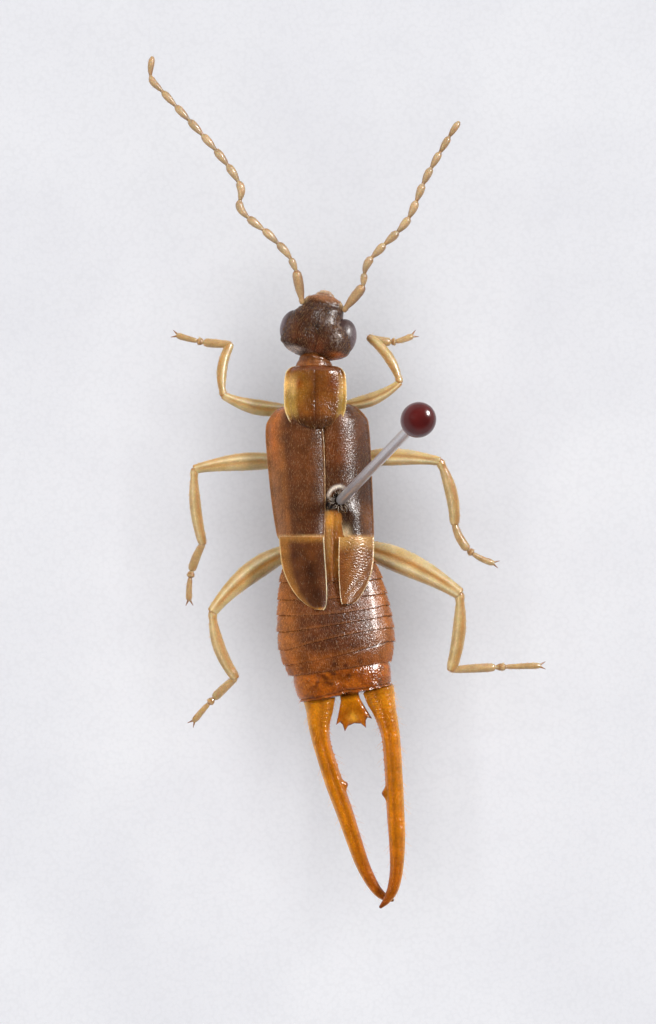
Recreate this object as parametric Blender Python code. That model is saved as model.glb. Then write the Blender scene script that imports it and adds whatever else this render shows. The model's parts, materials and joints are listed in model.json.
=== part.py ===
"""A pinned earwig on a pale foam board, life size, in the pose of a set museum specimen.

The earwig looks along +Y with its back up (+Z). Lengths are in millimetres until a mesh
is made, which is in metres. Body heights are measured from the middle of the body, and
BODY_HEIGHT lifts them over the board. The origin is under the middle of the board.
"""

import math
from typing import NamedTuple

import bmesh
import bpy
from mathutils import Matrix, Vector

MM = 0.001
GAP = 0.15

# The board, and how high the middle of the body hangs over the floor.
BOARD_WIDTH = 30.0
BOARD_LENGTH = 46.0
BOARD_THICKNESS = 4.0
BOARD_CORNER = 1.5
BOARD_EDGE = 0.4
BODY_HEIGHT = 12.5

# The pin leans to the right and forwards, and runs from inside the board to its head.
PIN_WIDTH = 0.40
PIN_HEAD_WIDTH = 1.30
PIN_HEAD_LENGTH = 1.00
PIN_ENTRY = (0.54, 0.50, 0.95)
PIN_LEAN = (0.211, 0.219)
PIN_ABOVE = 12.5
PIN_FOOT_HEIGHT = 2.0
PIN_CLEARANCE = 0.10

# The head, its eyes and feelers, measured in the head's own turned frame.
HEAD_MIDDLE = (-0.40, 7.12)
HEAD_TURN = 10.5
HEAD_WIDTH = 2.84
HEAD_REAR = -0.90
HEAD_FRONT = 1.38
HEAD_DEPTH = 1.56
EYE_PLACE = (1.05, 0.04, 0.06)
EYE_HALF_SIZES = (0.50, 0.76, 0.56)
EYE_GAP = 0.08
LABRUM_WIDTH = 0.84
LABRUM_FRONT = 1.77
LABRUM_HALF_DEPTH = 0.24
FEELER_SOCKET = (0.84, 1.10, 0.12)

# The shield behind the head, and the core of the body under it and under the wing cases.
PRONOTUM_WIDTH = 2.50
PRONOTUM_FRONT = 5.84
PRONOTUM_REAR = 3.36
PRONOTUM_MIDDLE = -0.51
PRONOTUM_TOP = 1.02
PRONOTUM_CROWN = 0.40

# The wing cases and the folded wing tips that show behind them.
CASE_TOP = 0.96
CASE_DROP = 0.95
PLATE_THICKNESS = 0.50
STEEPEST_SLOPE_FACTOR = 1.5
SLOPE_STEP = 0.02
WING_REAR_LEFT = -3.88
WING_REAR_RIGHT = -3.66
WING_TOP = 1.02

# The hind body: its rings, its broad last ring, the toothed end plate and the pincers.
ABDOMEN_RINGS = 8
RING_STEP = 0.045
PINCER_TOOTH = 0.16
PINCER_CROSSING_GAP = 0.10
END_PLATE_ROOT = (0.84, -7.22)
END_PLATE_TURN = 9.8
END_PLATE_LEVEL = -0.10
END_PLATE_THICKNESS = 0.62

# The least thickness of a leg or feeler, away from its tip.
LEAST = 0.48

Z_AXIS = Vector((0.0, 0.0, 1.0))

# The exact solver loses whole bodies among these many close cuts, and all meshes are closed.
SOLVER = "MANIFOLD"

# For each body, a function that makes it again with its skin a gap further out.
SWOLLEN = {}


def clear_scene():
    """Empties the scene."""
    for obj in list(bpy.data.objects):
        bpy.data.objects.remove(obj)


def material(name, colour, roughness, metallic=0.0):
    """A plain finish, made once for each name."""
    found = bpy.data.materials.get(name)
    if found:
        return found
    made = bpy.data.materials.new(name)
    made.use_nodes = True
    shader = made.node_tree.nodes["Principled BSDF"]
    shader.inputs["Base Color"].default_value = (*colour, 1.0)
    shader.inputs["Roughness"].default_value = roughness
    shader.inputs["Metallic"].default_value = metallic
    return made


FINISHES = {
    "dark": ("dark_cuticle", (0.16, 0.065, 0.025), 0.42),
    "brown": ("brown_cuticle", (0.26, 0.10, 0.03), 0.40),
    "amber": ("amber_cuticle", (0.62, 0.27, 0.03), 0.30),
    "pale": ("pale_cuticle", (0.72, 0.50, 0.20), 0.35),
    "eye": ("eye_lens", (0.07, 0.05, 0.055), 0.25),
    "steel": ("pin_steel", (0.50, 0.50, 0.52), 0.30),
    "head": ("pin_bead", (0.14, 0.03, 0.025), 0.25),
    "board": ("foam_board", (0.84, 0.84, 0.85), 0.85),
}


def new_object(name, mesh, finish):
    """A named object that shows a mesh in one of the finishes."""
    made = bpy.data.objects.new(name, mesh)
    label, colour, roughness = FINISHES[finish]
    mesh.materials.append(material(label, colour, roughness, 1.0 if finish == "steel" else 0.0))
    bpy.context.scene.collection.objects.link(made)
    return made


def mesh_of(name, bm):
    """The mesh of a bmesh, with its faces turned outwards and its round parts shaded smooth."""
    bmesh.ops.recalc_face_normals(bm, faces=bm.faces)
    mesh = bpy.data.meshes.new(name)
    bm.to_mesh(mesh)
    bm.free()
    mesh.shade_smooth()
    mesh.set_sharp_from_angle(angle=math.radians(50))
    return mesh


def body_point(x, y, z):
    """A point of the body, whose height is from its middle, in metres."""
    return Vector((x, y, z + BODY_HEIGHT)) * MM


def blend_rows(rows, t):
    """The rows' numbers at t from 0 to 1, on a smooth curve through all of them."""
    span = t * (len(rows) - 1)
    i = min(int(span), len(rows) - 2)
    f = span - i
    p0 = rows[max(i - 1, 0)]
    p1 = rows[i]
    p2 = rows[i + 1]
    p3 = rows[min(i + 2, len(rows) - 1)]
    return tuple(
        b + 0.5 * f * (c - a + f * (2 * a - 5 * b + 4 * c - d + f * (3 * (b - c) + d - a)))
        for a, b, c, d in zip(p0, p1, p2, p3)
    )


def spread(count):
    """Evenly spread numbers from 0 to 1."""
    return [i / (count - 1) for i in range(count)]


def oval(sides, power):
    """The corners of a unit oval, rounder than an ellipse where power is over 2."""
    corners = []
    for i in range(sides):
        angle = 2 * math.pi * i / sides
        c = math.cos(angle)
        s = math.sin(angle)
        corners.append((
            math.copysign(abs(c) ** (2 / power), c),
            math.copysign(abs(s) ** (2 / power), s),
        ))
    return corners


def skin_rings(bm, rings, first_tip, last_tip):
    """Joins rings of corners into one closed skin that ends in a point at each end."""
    made = [[bm.verts.new(point) for point in ring] for ring in rings]
    sides = len(made[0])
    for a, b in zip(made, made[1:]):
        for i in range(sides):
            j = (i + 1) % sides
            bm.faces.new((a[i], a[j], b[j], b[i]))
    for ring, tip in ((made[0], first_tip), (made[-1], last_tip)):
        end = bm.verts.new(tip)
        for i in range(sides):
            bm.faces.new((ring[i], ring[(i + 1) % sides], end))


def tube_mesh(name, rows, rings, sides, power, dome, swell=0.0):
    """The mesh of a closed body along a path, with its skin moved out by the swell."""
    samples = [blend_rows(rows, t) for t in spread(rings)]
    centres = [Vector(s[:3]) for s in samples]
    shape = oval(sides, power)
    loops = []
    for i, sample in enumerate(samples):
        along = (centres[min(i + 1, rings - 1)] - centres[max(i - 1, 0)]).normalized()
        side = along.cross(Z_AXIS).normalized()
        up = side.cross(along)
        half, rise, drop = (size + swell for size in sample[3:6])
        loops.append([
            centres[i] + side * (c * half) + up * (s * (rise if s > 0 else drop)) for c, s in shape
        ])
    tips = []
    for i, inward in ((0, 1), (-1, -2)):
        outward = (centres[i] - centres[inward]).normalized()
        reach = dome * min(samples[i][3], samples[i][4])
        loops[i] = [point + outward * swell for point in loops[i]]
        middle = centres[i] + outward * swell
        cap = [middle + (p - middle) * 0.68 + outward * (0.7 * reach) for p in loops[i]]
        tips.append((cap, body_point(*(middle + outward * reach))))
    loops = [tips[0][0], *loops, tips[1][0]]
    lifted = [[body_point(*point) for point in ring] for ring in loops]
    bm = bmesh.new()
    skin_rings(bm, lifted, tips[0][1], tips[1][1])
    return mesh_of(name, bm)


def tube(name, finish, rows, rings, sides, power=2.0, dome=0.5):
    """A closed body along a path. Rows hold x, y, z, half width, height above and depth below."""
    SWOLLEN[name] = lambda gap: tube_mesh("cutter", rows, rings, sides, power, dome, gap)
    return new_object(name, tube_mesh(name, rows, rings, sides, power, dome), finish)


def plate_mesh(name, rows, height, across, along, thickness, swell=0.0):
    """The mesh of a closed curved plate, with its skin moved out by the swell."""
    above = []
    below = []
    bm = bmesh.new()
    for t in spread(along):
        y, x0, x1 = blend_rows(rows, t)
        y += swell * (1 - 2 * t)
        edge = math.copysign(swell, x1 - x0)
        upper = []
        lower = []
        for share in spread(across):
            x = x0 - edge + (x1 - x0 + 2 * edge) * share
            a = max(share - SLOPE_STEP, 0.0)
            b = min(share + SLOPE_STEP, 1.0)
            slope = (height(b, t) - height(a, t)) / ((b - a) * abs(x1 - x0))
            deep = thickness * min(math.hypot(1.0, slope), STEEPEST_SLOPE_FACTOR)
            z = height(share, t)
            upper.append(bm.verts.new(body_point(x, y, z + swell)))
            lower.append(bm.verts.new(body_point(x, y, z - deep - swell)))
        above.append(upper)
        below.append(lower)
    for j in range(along - 1):
        for i in range(across - 1):
            bm.faces.new((above[j][i], above[j][i + 1], above[j + 1][i + 1], above[j + 1][i]))
            bm.faces.new((below[j][i], below[j + 1][i], below[j + 1][i + 1], below[j][i + 1]))
    loop = [(0, i) for i in range(across)]
    loop += [(j, across - 1) for j in range(1, along)]
    loop += [(along - 1, i) for i in range(across - 2, -1, -1)]
    loop += [(j, 0) for j in range(along - 2, 0, -1)]
    for (j, i), (m, n) in zip(loop, loop[1:] + loop[:1]):
        bm.faces.new((above[j][i], below[j][i], below[m][n], above[m][n]))
    return mesh_of(name, bm)


def plate(name, finish, rows, height, across, along):
    """A closed curved plate. Rows hold y and the two edges' x, and height gives z at s and t."""

    def make(label, swell):
        return plate_mesh(label, rows, height, across, along, PLATE_THICKNESS, swell)

    SWOLLEN[name] = lambda gap: make("cutter", gap)
    return new_object(name, make(name, 0.0), finish)


def ball_mesh(name, centre, half_sizes, turn, sides, rings, swell=0.0):
    """The mesh of an ellipsoid, with its skin moved out by the swell."""
    bm = bmesh.new()
    sizes = [(half + swell) * MM for half in half_sizes]
    scale = Matrix.Diagonal((*sizes, 1.0))
    place = Matrix.Translation(body_point(*centre)) @ Matrix.Rotation(turn, 4, "Z") @ scale
    bmesh.ops.create_uvsphere(bm, u_segments=sides, v_segments=rings, radius=1.0, matrix=place)
    return mesh_of(name, bm)


def ball(name, finish, centre, half_sizes, turn=0.0, sides=16, rings=9):
    """A closed ellipsoid about a point of the body, turned about the upright."""
    SWOLLEN[name] = lambda gap: ball_mesh("cutter", centre, half_sizes, turn, sides, rings, gap)
    return new_object(name, ball_mesh(name, centre, half_sizes, turn, sides, rings), finish)


def rod_mesh(name, start, end, radius, sides, swell=0.0):
    """The mesh of a round rod, with its skin moved out by the swell."""
    bm = bmesh.new()
    run = end - start
    place = Matrix.Translation((start + end) / 2) @ run.to_track_quat("Z", "Y").to_matrix().to_4x4()
    reach = swell * MM
    bmesh.ops.create_cone(
        bm, cap_ends=True, segments=sides, radius1=radius + reach, radius2=radius + reach,
        depth=run.length + 2 * reach, matrix=place,
    )
    return mesh_of(name, bm)


def rod(name, finish, start, end, radius, sides=16):
    """A closed round rod between two points in metres."""
    SWOLLEN[name] = lambda gap: rod_mesh("cutter", start, end, radius, sides, gap)
    return new_object(name, rod_mesh(name, start, end, radius, sides), finish)


def apply_modifiers(obj):
    """Fixes an object's modifiers into its mesh."""
    bpy.context.view_layer.update()
    graph = bpy.context.evaluated_depsgraph_get()
    obj.data = bpy.data.meshes.new_from_object(obj.evaluated_get(graph))
    obj.modifiers.clear()


def keep_largest(obj):
    """Drops the loose scraps that a cut leaves beside the main body."""
    bm = bmesh.new()
    bm.from_mesh(obj.data)
    unseen = set(bm.verts)
    groups = []
    while unseen:
        stack = [unseen.pop()]
        group = list(stack)
        while stack:
            for edge in stack.pop().link_edges:
                for vertex in edge.verts:
                    if vertex in unseen:
                        unseen.discard(vertex)
                        stack.append(vertex)
                        group.append(vertex)
        groups.append(group)
    groups.sort(key=len)
    for group in groups[:-1]:
        bmesh.ops.delete(bm, geom=group, context="VERTS")
    bm.to_mesh(obj.data)
    bm.free()


def cut(obj, *others, gap=GAP):
    """Cuts a body clear of its neighbours, with a gap between their skins."""
    for other in others:
        cutter = bpy.data.objects.new("cutter", SWOLLEN[other.name](gap))
        cutter.hide_render = True
        cutter.display_type = "WIRE"
        bpy.context.scene.collection.objects.link(cutter)
        boolean = obj.modifiers.new("clear", "BOOLEAN")
        boolean.operation = "DIFFERENCE"
        boolean.solver = SOLVER
        boolean.object = cutter
        apply_modifiers(obj)
        bpy.data.objects.remove(cutter)
    keep_largest(obj)
    return obj


def join(obj, pieces):
    """Joins closed pieces to a body with one union."""
    group = bpy.data.collections.new("pieces")
    bpy.context.scene.collection.children.link(group)
    for piece in pieces:
        bpy.context.scene.collection.objects.unlink(piece)
        group.objects.link(piece)
    boolean = obj.modifiers.new("join", "BOOLEAN")
    boolean.operation = "UNION"
    boolean.solver = SOLVER
    boolean.operand_type = "COLLECTION"
    boolean.collection = group
    apply_modifiers(obj)
    for piece in pieces:
        bpy.data.objects.remove(piece)
    bpy.data.collections.remove(group)
    keep_largest(obj)
    return obj


def head_point(u, v, z):
    """A point of the head, u to its right and v forwards, as x, y and z of the body."""
    turn = math.radians(HEAD_TURN)
    x = HEAD_MIDDLE[0] + u * math.cos(turn) + v * math.sin(turn)
    y = HEAD_MIDDLE[1] - u * math.sin(turn) + v * math.cos(turn)
    return (x, y, z)


def head_rows(rows):
    """Rows of u, v, z, half width, rise and drop, placed in the body's frame."""
    return [(*head_point(*row[:3]), *row[3:]) for row in rows]


def build_head():
    """The skull, whose lobes reach out over the eyes, with the lip, jaws and palps at its front."""
    half = HEAD_WIDTH / 2
    deep = HEAD_DEPTH / 2
    run = HEAD_FRONT - HEAD_REAR
    profile = (
        (0.00, 0.60, 0.52),
        (0.04, 0.79, 0.76),
        (0.15, 0.96, 0.97),
        (0.28, 1.00, 1.00),
        (0.40, 0.97, 0.98),
        (0.52, 0.85, 0.92),
        (0.64, 0.71, 0.84),
        (0.76, 0.63, 0.72),
        (0.88, 0.58, 0.56),
        (0.96, 0.48, 0.42),
        (1.00, 0.36, 0.30),
    )
    rows = [
        (0.0, HEAD_REAR + share * run, 0.0, wide * half, tall * deep, tall * deep)
        for share, wide, tall in profile
    ]
    skull = tube("head", "dark", head_rows(rows), rings=13, sides=18, power=2.2, dome=0.12)
    eyes = []
    for side, label in ((-1, "left"), (1, "right")):
        u, v, z = EYE_PLACE
        centre = head_point(side * u, v, z)
        turn = -math.radians(HEAD_TURN)
        eyes.append(ball(f"eye_{label}", "eye", centre, EYE_HALF_SIZES, turn))
    cut(skull, *eyes, gap=EYE_GAP)
    lip_half = LABRUM_WIDTH / 2
    lip_deep = LABRUM_HALF_DEPTH
    lip_rows = (
        (0.0, HEAD_FRONT - 0.16, -0.04, lip_half, lip_deep, lip_deep),
        (0.0, LABRUM_FRONT - 0.20, -0.10, lip_half, lip_deep, lip_deep),
        (0.0, LABRUM_FRONT - 0.08, -0.12, lip_half * 0.76, lip_deep * 0.84, lip_deep * 0.84),
    )
    lip = tube("labrum", "pale", head_rows(lip_rows), rings=5, sides=12, power=2.4, dome=0.4)
    cut(lip, skull)
    mouth = []
    for side, label in ((-1, "left"), (1, "right")):
        jaw_rows = (
            (side * 0.42, 0.80, -0.56, 0.24, 0.22, 0.22),
            (side * 0.38, 1.25, -0.62, 0.22, 0.20, 0.20),
            (side * 0.20, 1.54, -0.60, 0.12, 0.14, 0.14),
        )
        jaw = tube(f"jaw_{label}", "amber", head_rows(jaw_rows), rings=6, sides=10)
        cut(jaw, skull, lip)
        palp_rows = (
            (side * 0.46, 0.50, -0.98, 0.20, 0.20, 0.20),
            (side * 0.62, 0.70, -1.18, 0.24, 0.24, 0.24),
            (side * 0.66, 0.96, -1.20, 0.20, 0.20, 0.20),
            (side * 0.56, 1.20, -1.14, 0.22, 0.22, 0.22),
            (side * 0.42, 1.38, -1.10, 0.14, 0.14, 0.14),
        )
        palp = tube(f"palp_{label}", "pale", head_rows(palp_rows), rings=9, sides=8)
        cut(palp, skull, jaw)
        mouth += [jaw, palp]
    return skull


class Feeler(NamedTuple):
    """One feeler: its side, its turning points from socket to tip, and its beads after the first."""

    side: int
    elbow: tuple
    bends: tuple
    beads: int


FEELERS = {
    "left": Feeler(-1, (-1.26, 9.60, 0.50), (
        (-1.60, 10.26, 0.62), (-2.34, 11.04, 0.72), (-3.46, 12.04, 0.80), (-3.50, 13.00, 0.84),
        (-4.50, 14.44, 0.84), (-6.46, 16.60, 0.76), (-7.04, 17.28, 0.72), (-7.00, 18.14, 0.70),
    ), 14),
    "right": Feeler(1, (1.40, 9.00, 0.50), (
        (1.54, 9.84, 0.62), (2.10, 10.50, 0.70), (3.16, 11.62, 0.80),
        (3.90, 13.30, 0.84), (4.78, 14.86, 0.80), (5.22, 15.54, 0.76),
    ), 11),
}
SCAPE_WIDTH = 0.50
BEAD_WIDTH = 0.50
BEAD_TIP_WIDTH = 0.34
BEAD_WAIST = 0.62
FEELER_LENGTHS = 2


def curve_length_share(points, share):
    """The point at a share of the length of a smooth curve through the points."""
    fine = [Vector(blend_rows(points, t)) for t in spread(120)]
    runs = [(b - a).length for a, b in zip(fine, fine[1:])]
    wanted = share * sum(runs)
    for a, b, run in zip(fine, fine[1:], runs):
        if wanted <= run:
            return a.lerp(b, wanted / run)
        wanted -= run
    return fine[-1]


def build_feeler(label, skull):
    """A feeler in three nodes: the long first joint, and the string of beads in two lengths."""
    feeler = FEELERS[label]
    u, v, z = FEELER_SOCKET
    socket = Vector(head_point(feeler.side * u, v, z))
    elbow = Vector(feeler.elbow)
    half = SCAPE_WIDTH / 2
    rows = [
        (*socket, 0.20, 0.20, 0.20),
        (*socket.lerp(elbow, 0.5), half, half, half),
        (*elbow, 0.22, 0.22, 0.22),
    ]
    scape = tube(f"feeler_{label}_scape", "amber", rows, rings=6, sides=10)
    cut(scape, skull)
    points = [tuple(elbow), *feeler.bends]
    each = feeler.beads // FEELER_LENGTHS
    before = scape
    for length in range(FEELER_LENGTHS):
        first = length * each
        last = feeler.beads if length == FEELER_LENGTHS - 1 else first + each
        rows = []
        for bead in range(first, last):
            for place, full in ((0.12, BEAD_WAIST), (0.38, 0.95), (0.66, 1.0), (0.92, BEAD_WAIST)):
                share = (bead + place) / feeler.beads
                wide = BEAD_WIDTH + (BEAD_TIP_WIDTH - BEAD_WIDTH) * share ** 3
                radius = 0.5 * wide * full
                centre = curve_length_share(points, share)
                rows.append((*centre, radius, radius, radius))
        name = f"feeler_{label}_beads_{length + 1}"
        beads = tube(name, "pale", rows, rings=len(rows), sides=7)
        cut(beads, before)
        before = beads


def build_neck_and_shield(skull):
    """The neck, the shield over the front body, and the front body under the shield."""
    half = PRONOTUM_WIDTH / 2
    x = PRONOTUM_MIDDLE
    run = PRONOTUM_FRONT - PRONOTUM_REAR
    outline = (
        (0.00, 0.50), (0.03, 0.77), (0.11, 0.93), (0.26, 0.99), (0.47, 1.00),
        (0.68, 0.98), (0.84, 0.88), (0.94, 0.72), (1.00, 0.43),
    )
    rows = [(PRONOTUM_FRONT - share * run, x - wide * half, x + wide * half) for share, wide in outline]

    def height(s, t):
        side = abs(2 * s - 1)
        nose = 0.22 * max(0.0, 0.22 - t) / 0.22
        return PRONOTUM_TOP - PRONOTUM_CROWN * side ** 2.4 - nose

    shield = plate("pronotum", "brown", rows, height, across=9, along=10)
    core_rows = (
        (x, 5.58, 0.0, 0.80, 0.36, 0.62),
        (x, 5.10, 0.0, 1.04, 0.40, 1.00),
        (x, 4.30, 0.0, 1.12, 0.40, 1.16),
        (x + 0.04, 3.72, 0.0, 1.10, 0.34, 1.20),
    )
    core = tube("prothorax", "brown", core_rows, rings=5, sides=14, power=2.5, dome=0.2)
    cut(core, shield)
    neck_rows = (
        (-0.46, 6.70, 0.02, 0.34, 0.34, 0.40),
        (-0.50, 6.34, 0.04, 0.48, 0.42, 0.46),
        (-0.54, 6.06, 0.06, 0.70, 0.46, 0.50),
        (-0.55, 5.60, 0.06, 0.72, 0.44, 0.50),
    )
    neck = tube("neck", "brown", neck_rows, rings=6, sides=12, dome=0.2)
    cut(neck, skull, shield, core)
    return shield, core


def case_height(s, t, top=CASE_TOP, drop=CASE_DROP):
    """Height of a wing case, s from its inner edge to its outer one and t from front to rear."""
    seam = 0.10 * (1 - s) ** 5
    shoulder = 0.30 * max(0.0, 0.14 - t) / 0.14
    return top - drop * s ** 2.8 - seam - shoulder


def build_wings(front, pin):
    """The two wing cases, with the pin's hole in the right one, and the folded wing tips."""
    left_rows = (
        (4.26, -0.88, -1.70), (4.08, -0.56, -2.08), (3.70, -0.30, -2.38), (3.28, -0.20, -2.50),
        (2.28, -0.14, -2.45), (0.48, -0.12, -2.27), (-0.52, -0.13, -2.12), (-1.00, -0.15, -2.02),
        (-1.16, -0.24, -1.84),
    )
    right_rows = (
        (4.32, 0.10, 0.84), (4.18, 0.06, 1.16), (3.86, 0.03, 1.48), (3.48, 0.02, 1.63),
        (2.08, 0.01, 1.74), (1.20, 0.02, 1.77), (0.48, 0.06, 1.80), (0.10, 0.30, 1.81),
        (-0.08, 0.48, 1.82), (-0.52, 0.54, 1.83), (-1.00, 0.66, 1.83), (-1.16, 0.92, 1.70),
    )
    left = plate("wing_case_left", "dark", left_rows, case_height, across=7, along=13)
    right = plate("wing_case_right", "dark", right_rows, case_height, across=7, along=14)
    for case in (left, right):
        cut(case, *front)
    cut(right, pin, gap=PIN_CLEARANCE)

    def tip_height(s, t):
        return WING_TOP + 0.16 * t - 0.50 * s ** 2.6 * (1 - 0.55 * t) - 0.06 * (1 - s) ** 4

    left_tip_rows = (
        (-1.00, -0.16, -1.96), (-1.92, -0.10, -1.88), (-2.52, -0.06, -1.72), (-3.04, -0.04, -1.46),
        (-3.44, -0.04, -1.16), (-3.72, -0.08, -0.82), (WING_REAR_LEFT, -0.20, -0.54),
    )
    right_tip_rows = (
        (-1.00, 0.44, 1.84), (-1.72, 0.42, 1.83), (-2.32, 0.42, 1.76), (-2.80, 0.44, 1.60),
        (-3.24, 0.48, 1.37), (-3.52, 0.52, 1.16), (WING_REAR_RIGHT, 0.58, 0.98),
    )
    tips = []
    for label, rows, case in (("left", left_tip_rows, left), ("right", right_tip_rows, right)):
        tip = plate(f"wing_tip_{label}", "brown", rows, tip_height, across=6, along=8)
        tips.append(cut(tip, case))
    return left, right, tips


def build_trunk(neighbours, pin):
    """The middle body under the wing cases, cut clear of its neighbours and pierced by the pin."""
    rows = (
        (-0.42, 3.50, 0.0, 1.16, 0.30, 1.18),
        (-0.36, 2.80, 0.0, 1.50, 0.32, 1.26),
        (-0.30, 1.40, 0.0, 1.66, 0.32, 1.32),
        (-0.24, 0.00, 0.0, 1.66, 0.32, 1.34),
        (-0.16, -1.10, 0.0, 1.56, 0.34, 1.28),
    )
    trunk = tube("thorax", "brown", rows, rings=7, sides=14, power=2.6, dome=0.2)
    cut(trunk, *neighbours)
    cut(trunk, pin, gap=PIN_CLEARANCE)
    return trunk


def build_abdomen(trunk, cases, tips):
    """The hind body: eight overlapping rings in one node, and the broad last ring behind them."""
    outline = (
        (-0.10, -1.42, 0.0, 1.50, 0.62, 1.12),
        (0.02, -2.30, 0.0, 1.90, 0.76, 1.18),
        (0.14, -3.30, 0.0, 2.13, 0.92, 1.22),
        (0.24, -4.20, 0.0, 2.25, 1.08, 1.24),
        (0.33, -5.05, 0.0, 2.30, 1.16, 1.22),
        (0.42, -5.75, 0.0, 2.20, 1.14, 1.16),
        (0.49, -6.22, 0.0, 2.04, 1.08, 1.08),
    )
    rows = []
    for ring in range(ABDOMEN_RINGS):
        for place, step in ((0.04, -1.0), (0.30, -0.35), (0.96, 1.0)):
            x, y, z, half, rise, drop = blend_rows(outline, (ring + place) / ABDOMEN_RINGS)
            grow = 1 + RING_STEP * step * 0.5
            rows.append((x, y, z, half * grow, rise * grow, drop * grow))
    abdomen = tube("abdomen", "brown", rows, rings=len(rows), sides=16, power=2.25, dome=0.15)
    cut(abdomen, trunk, *cases, *tips)
    last_rows = (
        (0.49, -6.05, 0.0, 1.90, 0.96, 0.96),
        (0.56, -6.50, 0.0, 1.98, 1.04, 1.02),
        (0.66, -6.98, 0.0, 1.93, 1.02, 0.96),
        (0.71, -7.24, 0.0, 1.86, 0.88, 0.82),
    )
    last = tube("abdomen_last_ring", "amber", last_rows, rings=5, sides=16, power=2.5, dome=0.1)
    cut(last, abdomen)
    return abdomen, last


def end_plate_mesh(name, swell=0.0):
    """The mesh of the end plate between the pincers, with two spines on each side of its rear."""
    turn = math.radians(END_PLATE_TURN)
    x0, y0 = END_PLATE_ROOT
    half_outline = (
        (0.38, 0.0), (0.40, 0.30), (0.50, 0.58), (0.60, 0.84), (0.74, 1.20), (0.56, 1.12),
        (0.48, 1.22), (0.43, 1.52), (0.26, 1.32), (0.0, 1.26),
    )
    outline = [*half_outline, *[(-u, v) for u, v in reversed(half_outline[:-1])]]
    widen = 1 + swell / 0.38
    bm = bmesh.new()
    loops = []
    for level, shrink in ((0.5, 0.90), (0.12, 1.0), (-0.5, 0.90)):
        loop = []
        for u, v in outline:
            across = u * shrink * widen
            back = v * (1 + swell / 1.2)
            x = x0 + across * math.cos(turn) + back * math.sin(turn)
            y = y0 + across * math.sin(turn) - back * math.cos(turn)
            tall = END_PLATE_THICKNESS * (1 - 0.32 * v) + 2 * swell
            loop.append(bm.verts.new(body_point(x, y, END_PLATE_LEVEL + level * tall)))
        loops.append(loop)
    count = len(outline)
    for a, b in zip(loops, loops[1:]):
        for i in range(count):
            j = (i + 1) % count
            bm.faces.new((a[i], a[j], b[j], b[i]))
    for loop in (loops[0], loops[-1]):
        bmesh.ops.triangulate(bm, faces=[bm.faces.new(loop)])
    return mesh_of(name, bm)


def build_end_plate(last):
    """The end plate, cut clear of the ring in front of it."""
    SWOLLEN["end_plate"] = lambda gap: end_plate_mesh("cutter", gap)
    made = new_object("end_plate", end_plate_mesh("end_plate"), "amber")
    return cut(made, last)


PINCER_ROWS = {
    "left": (
        (-0.36, -7.46, 0.00, 0.66, 0.44, 0.44), (-0.34, -7.90, 0.00, 0.56, 0.42, 0.42),
        (-0.36, -8.40, 0.00, 0.46, 0.40, 0.40), (-0.31, -8.92, 0.00, 0.39, 0.38, 0.38),
        (-0.20, -9.44, 0.00, 0.36, 0.36, 0.36), (0.24, -10.84, -0.02, 0.36, 0.34, 0.34),
        (0.66, -12.00, -0.06, 0.34, 0.32, 0.32), (1.06, -13.20, -0.14, 0.31, 0.29, 0.29),
        (1.44, -14.24, -0.24, 0.27, 0.25, 0.25), (1.90, -15.08, -0.32, 0.21, 0.19, 0.19),
        (2.28, -15.44, -0.34, 0.15, 0.13, 0.13), (2.62, -15.56, -0.30, 0.06, 0.06, 0.06),
    ),
    "right": (
        (2.02, -7.12, 0.00, 0.64, 0.44, 0.44), (2.12, -7.50, 0.00, 0.58, 0.42, 0.42),
        (2.26, -7.94, 0.00, 0.48, 0.40, 0.40), (2.40, -8.44, 0.00, 0.42, 0.38, 0.38),
        (2.53, -9.12, 0.00, 0.37, 0.36, 0.36), (2.63, -10.52, 0.02, 0.36, 0.34, 0.34),
        (2.70, -11.92, 0.06, 0.36, 0.32, 0.32), (2.76, -13.12, 0.14, 0.33, 0.29, 0.29),
        (2.74, -14.24, 0.22, 0.27, 0.24, 0.24), (2.60, -15.02, 0.26, 0.23, 0.19, 0.19),
        (2.36, -15.48, 0.26, 0.16, 0.13, 0.13), (2.08, -15.80, 0.22, 0.06, 0.06, 0.06),
    ),
}
PINCER_TOOTH_SHARE = {"left": 0.47, "right": 0.50}


def build_pincers(last, end_plate):
    """The two long pincers, each with a small inner tooth; the right tip crosses over the left."""
    left = None
    for label, inward in (("left", 1), ("right", -1)):
        rows = PINCER_ROWS[label]
        pincer = tube(f"pincer_{label}", "amber", rows, rings=18, sides=10, power=2.3, dome=0.4)
        x, y, z, half, rise, _ = blend_rows(rows, PINCER_TOOTH_SHARE[label])
        inner = x + inward * half
        tooth_rows = (
            (inner - inward * 0.20, y, z, 0.16, 0.16, 0.16),
            (inner + inward * 0.04, y, z, 0.09, 0.09, 0.09),
            (inner + inward * PINCER_TOOTH, y - 0.04, z, 0.03, 0.03, 0.03),
        )
        tooth = tube("tooth", "amber", tooth_rows, rings=4, sides=6)
        join(pincer, [tooth])
        cut(pincer, last, end_plate)
        if left:
            cut(left, pincer, gap=PINCER_CROSSING_GAP)
        left = pincer


class Leg(NamedTuple):
    """One leg: its turning points from hip to toe, its bows to the outer side, and its widths."""

    root: tuple
    hip: tuple
    knee: tuple
    ankle: tuple
    toe: tuple
    bows: tuple
    thigh_width: float
    shin_width: float


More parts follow.
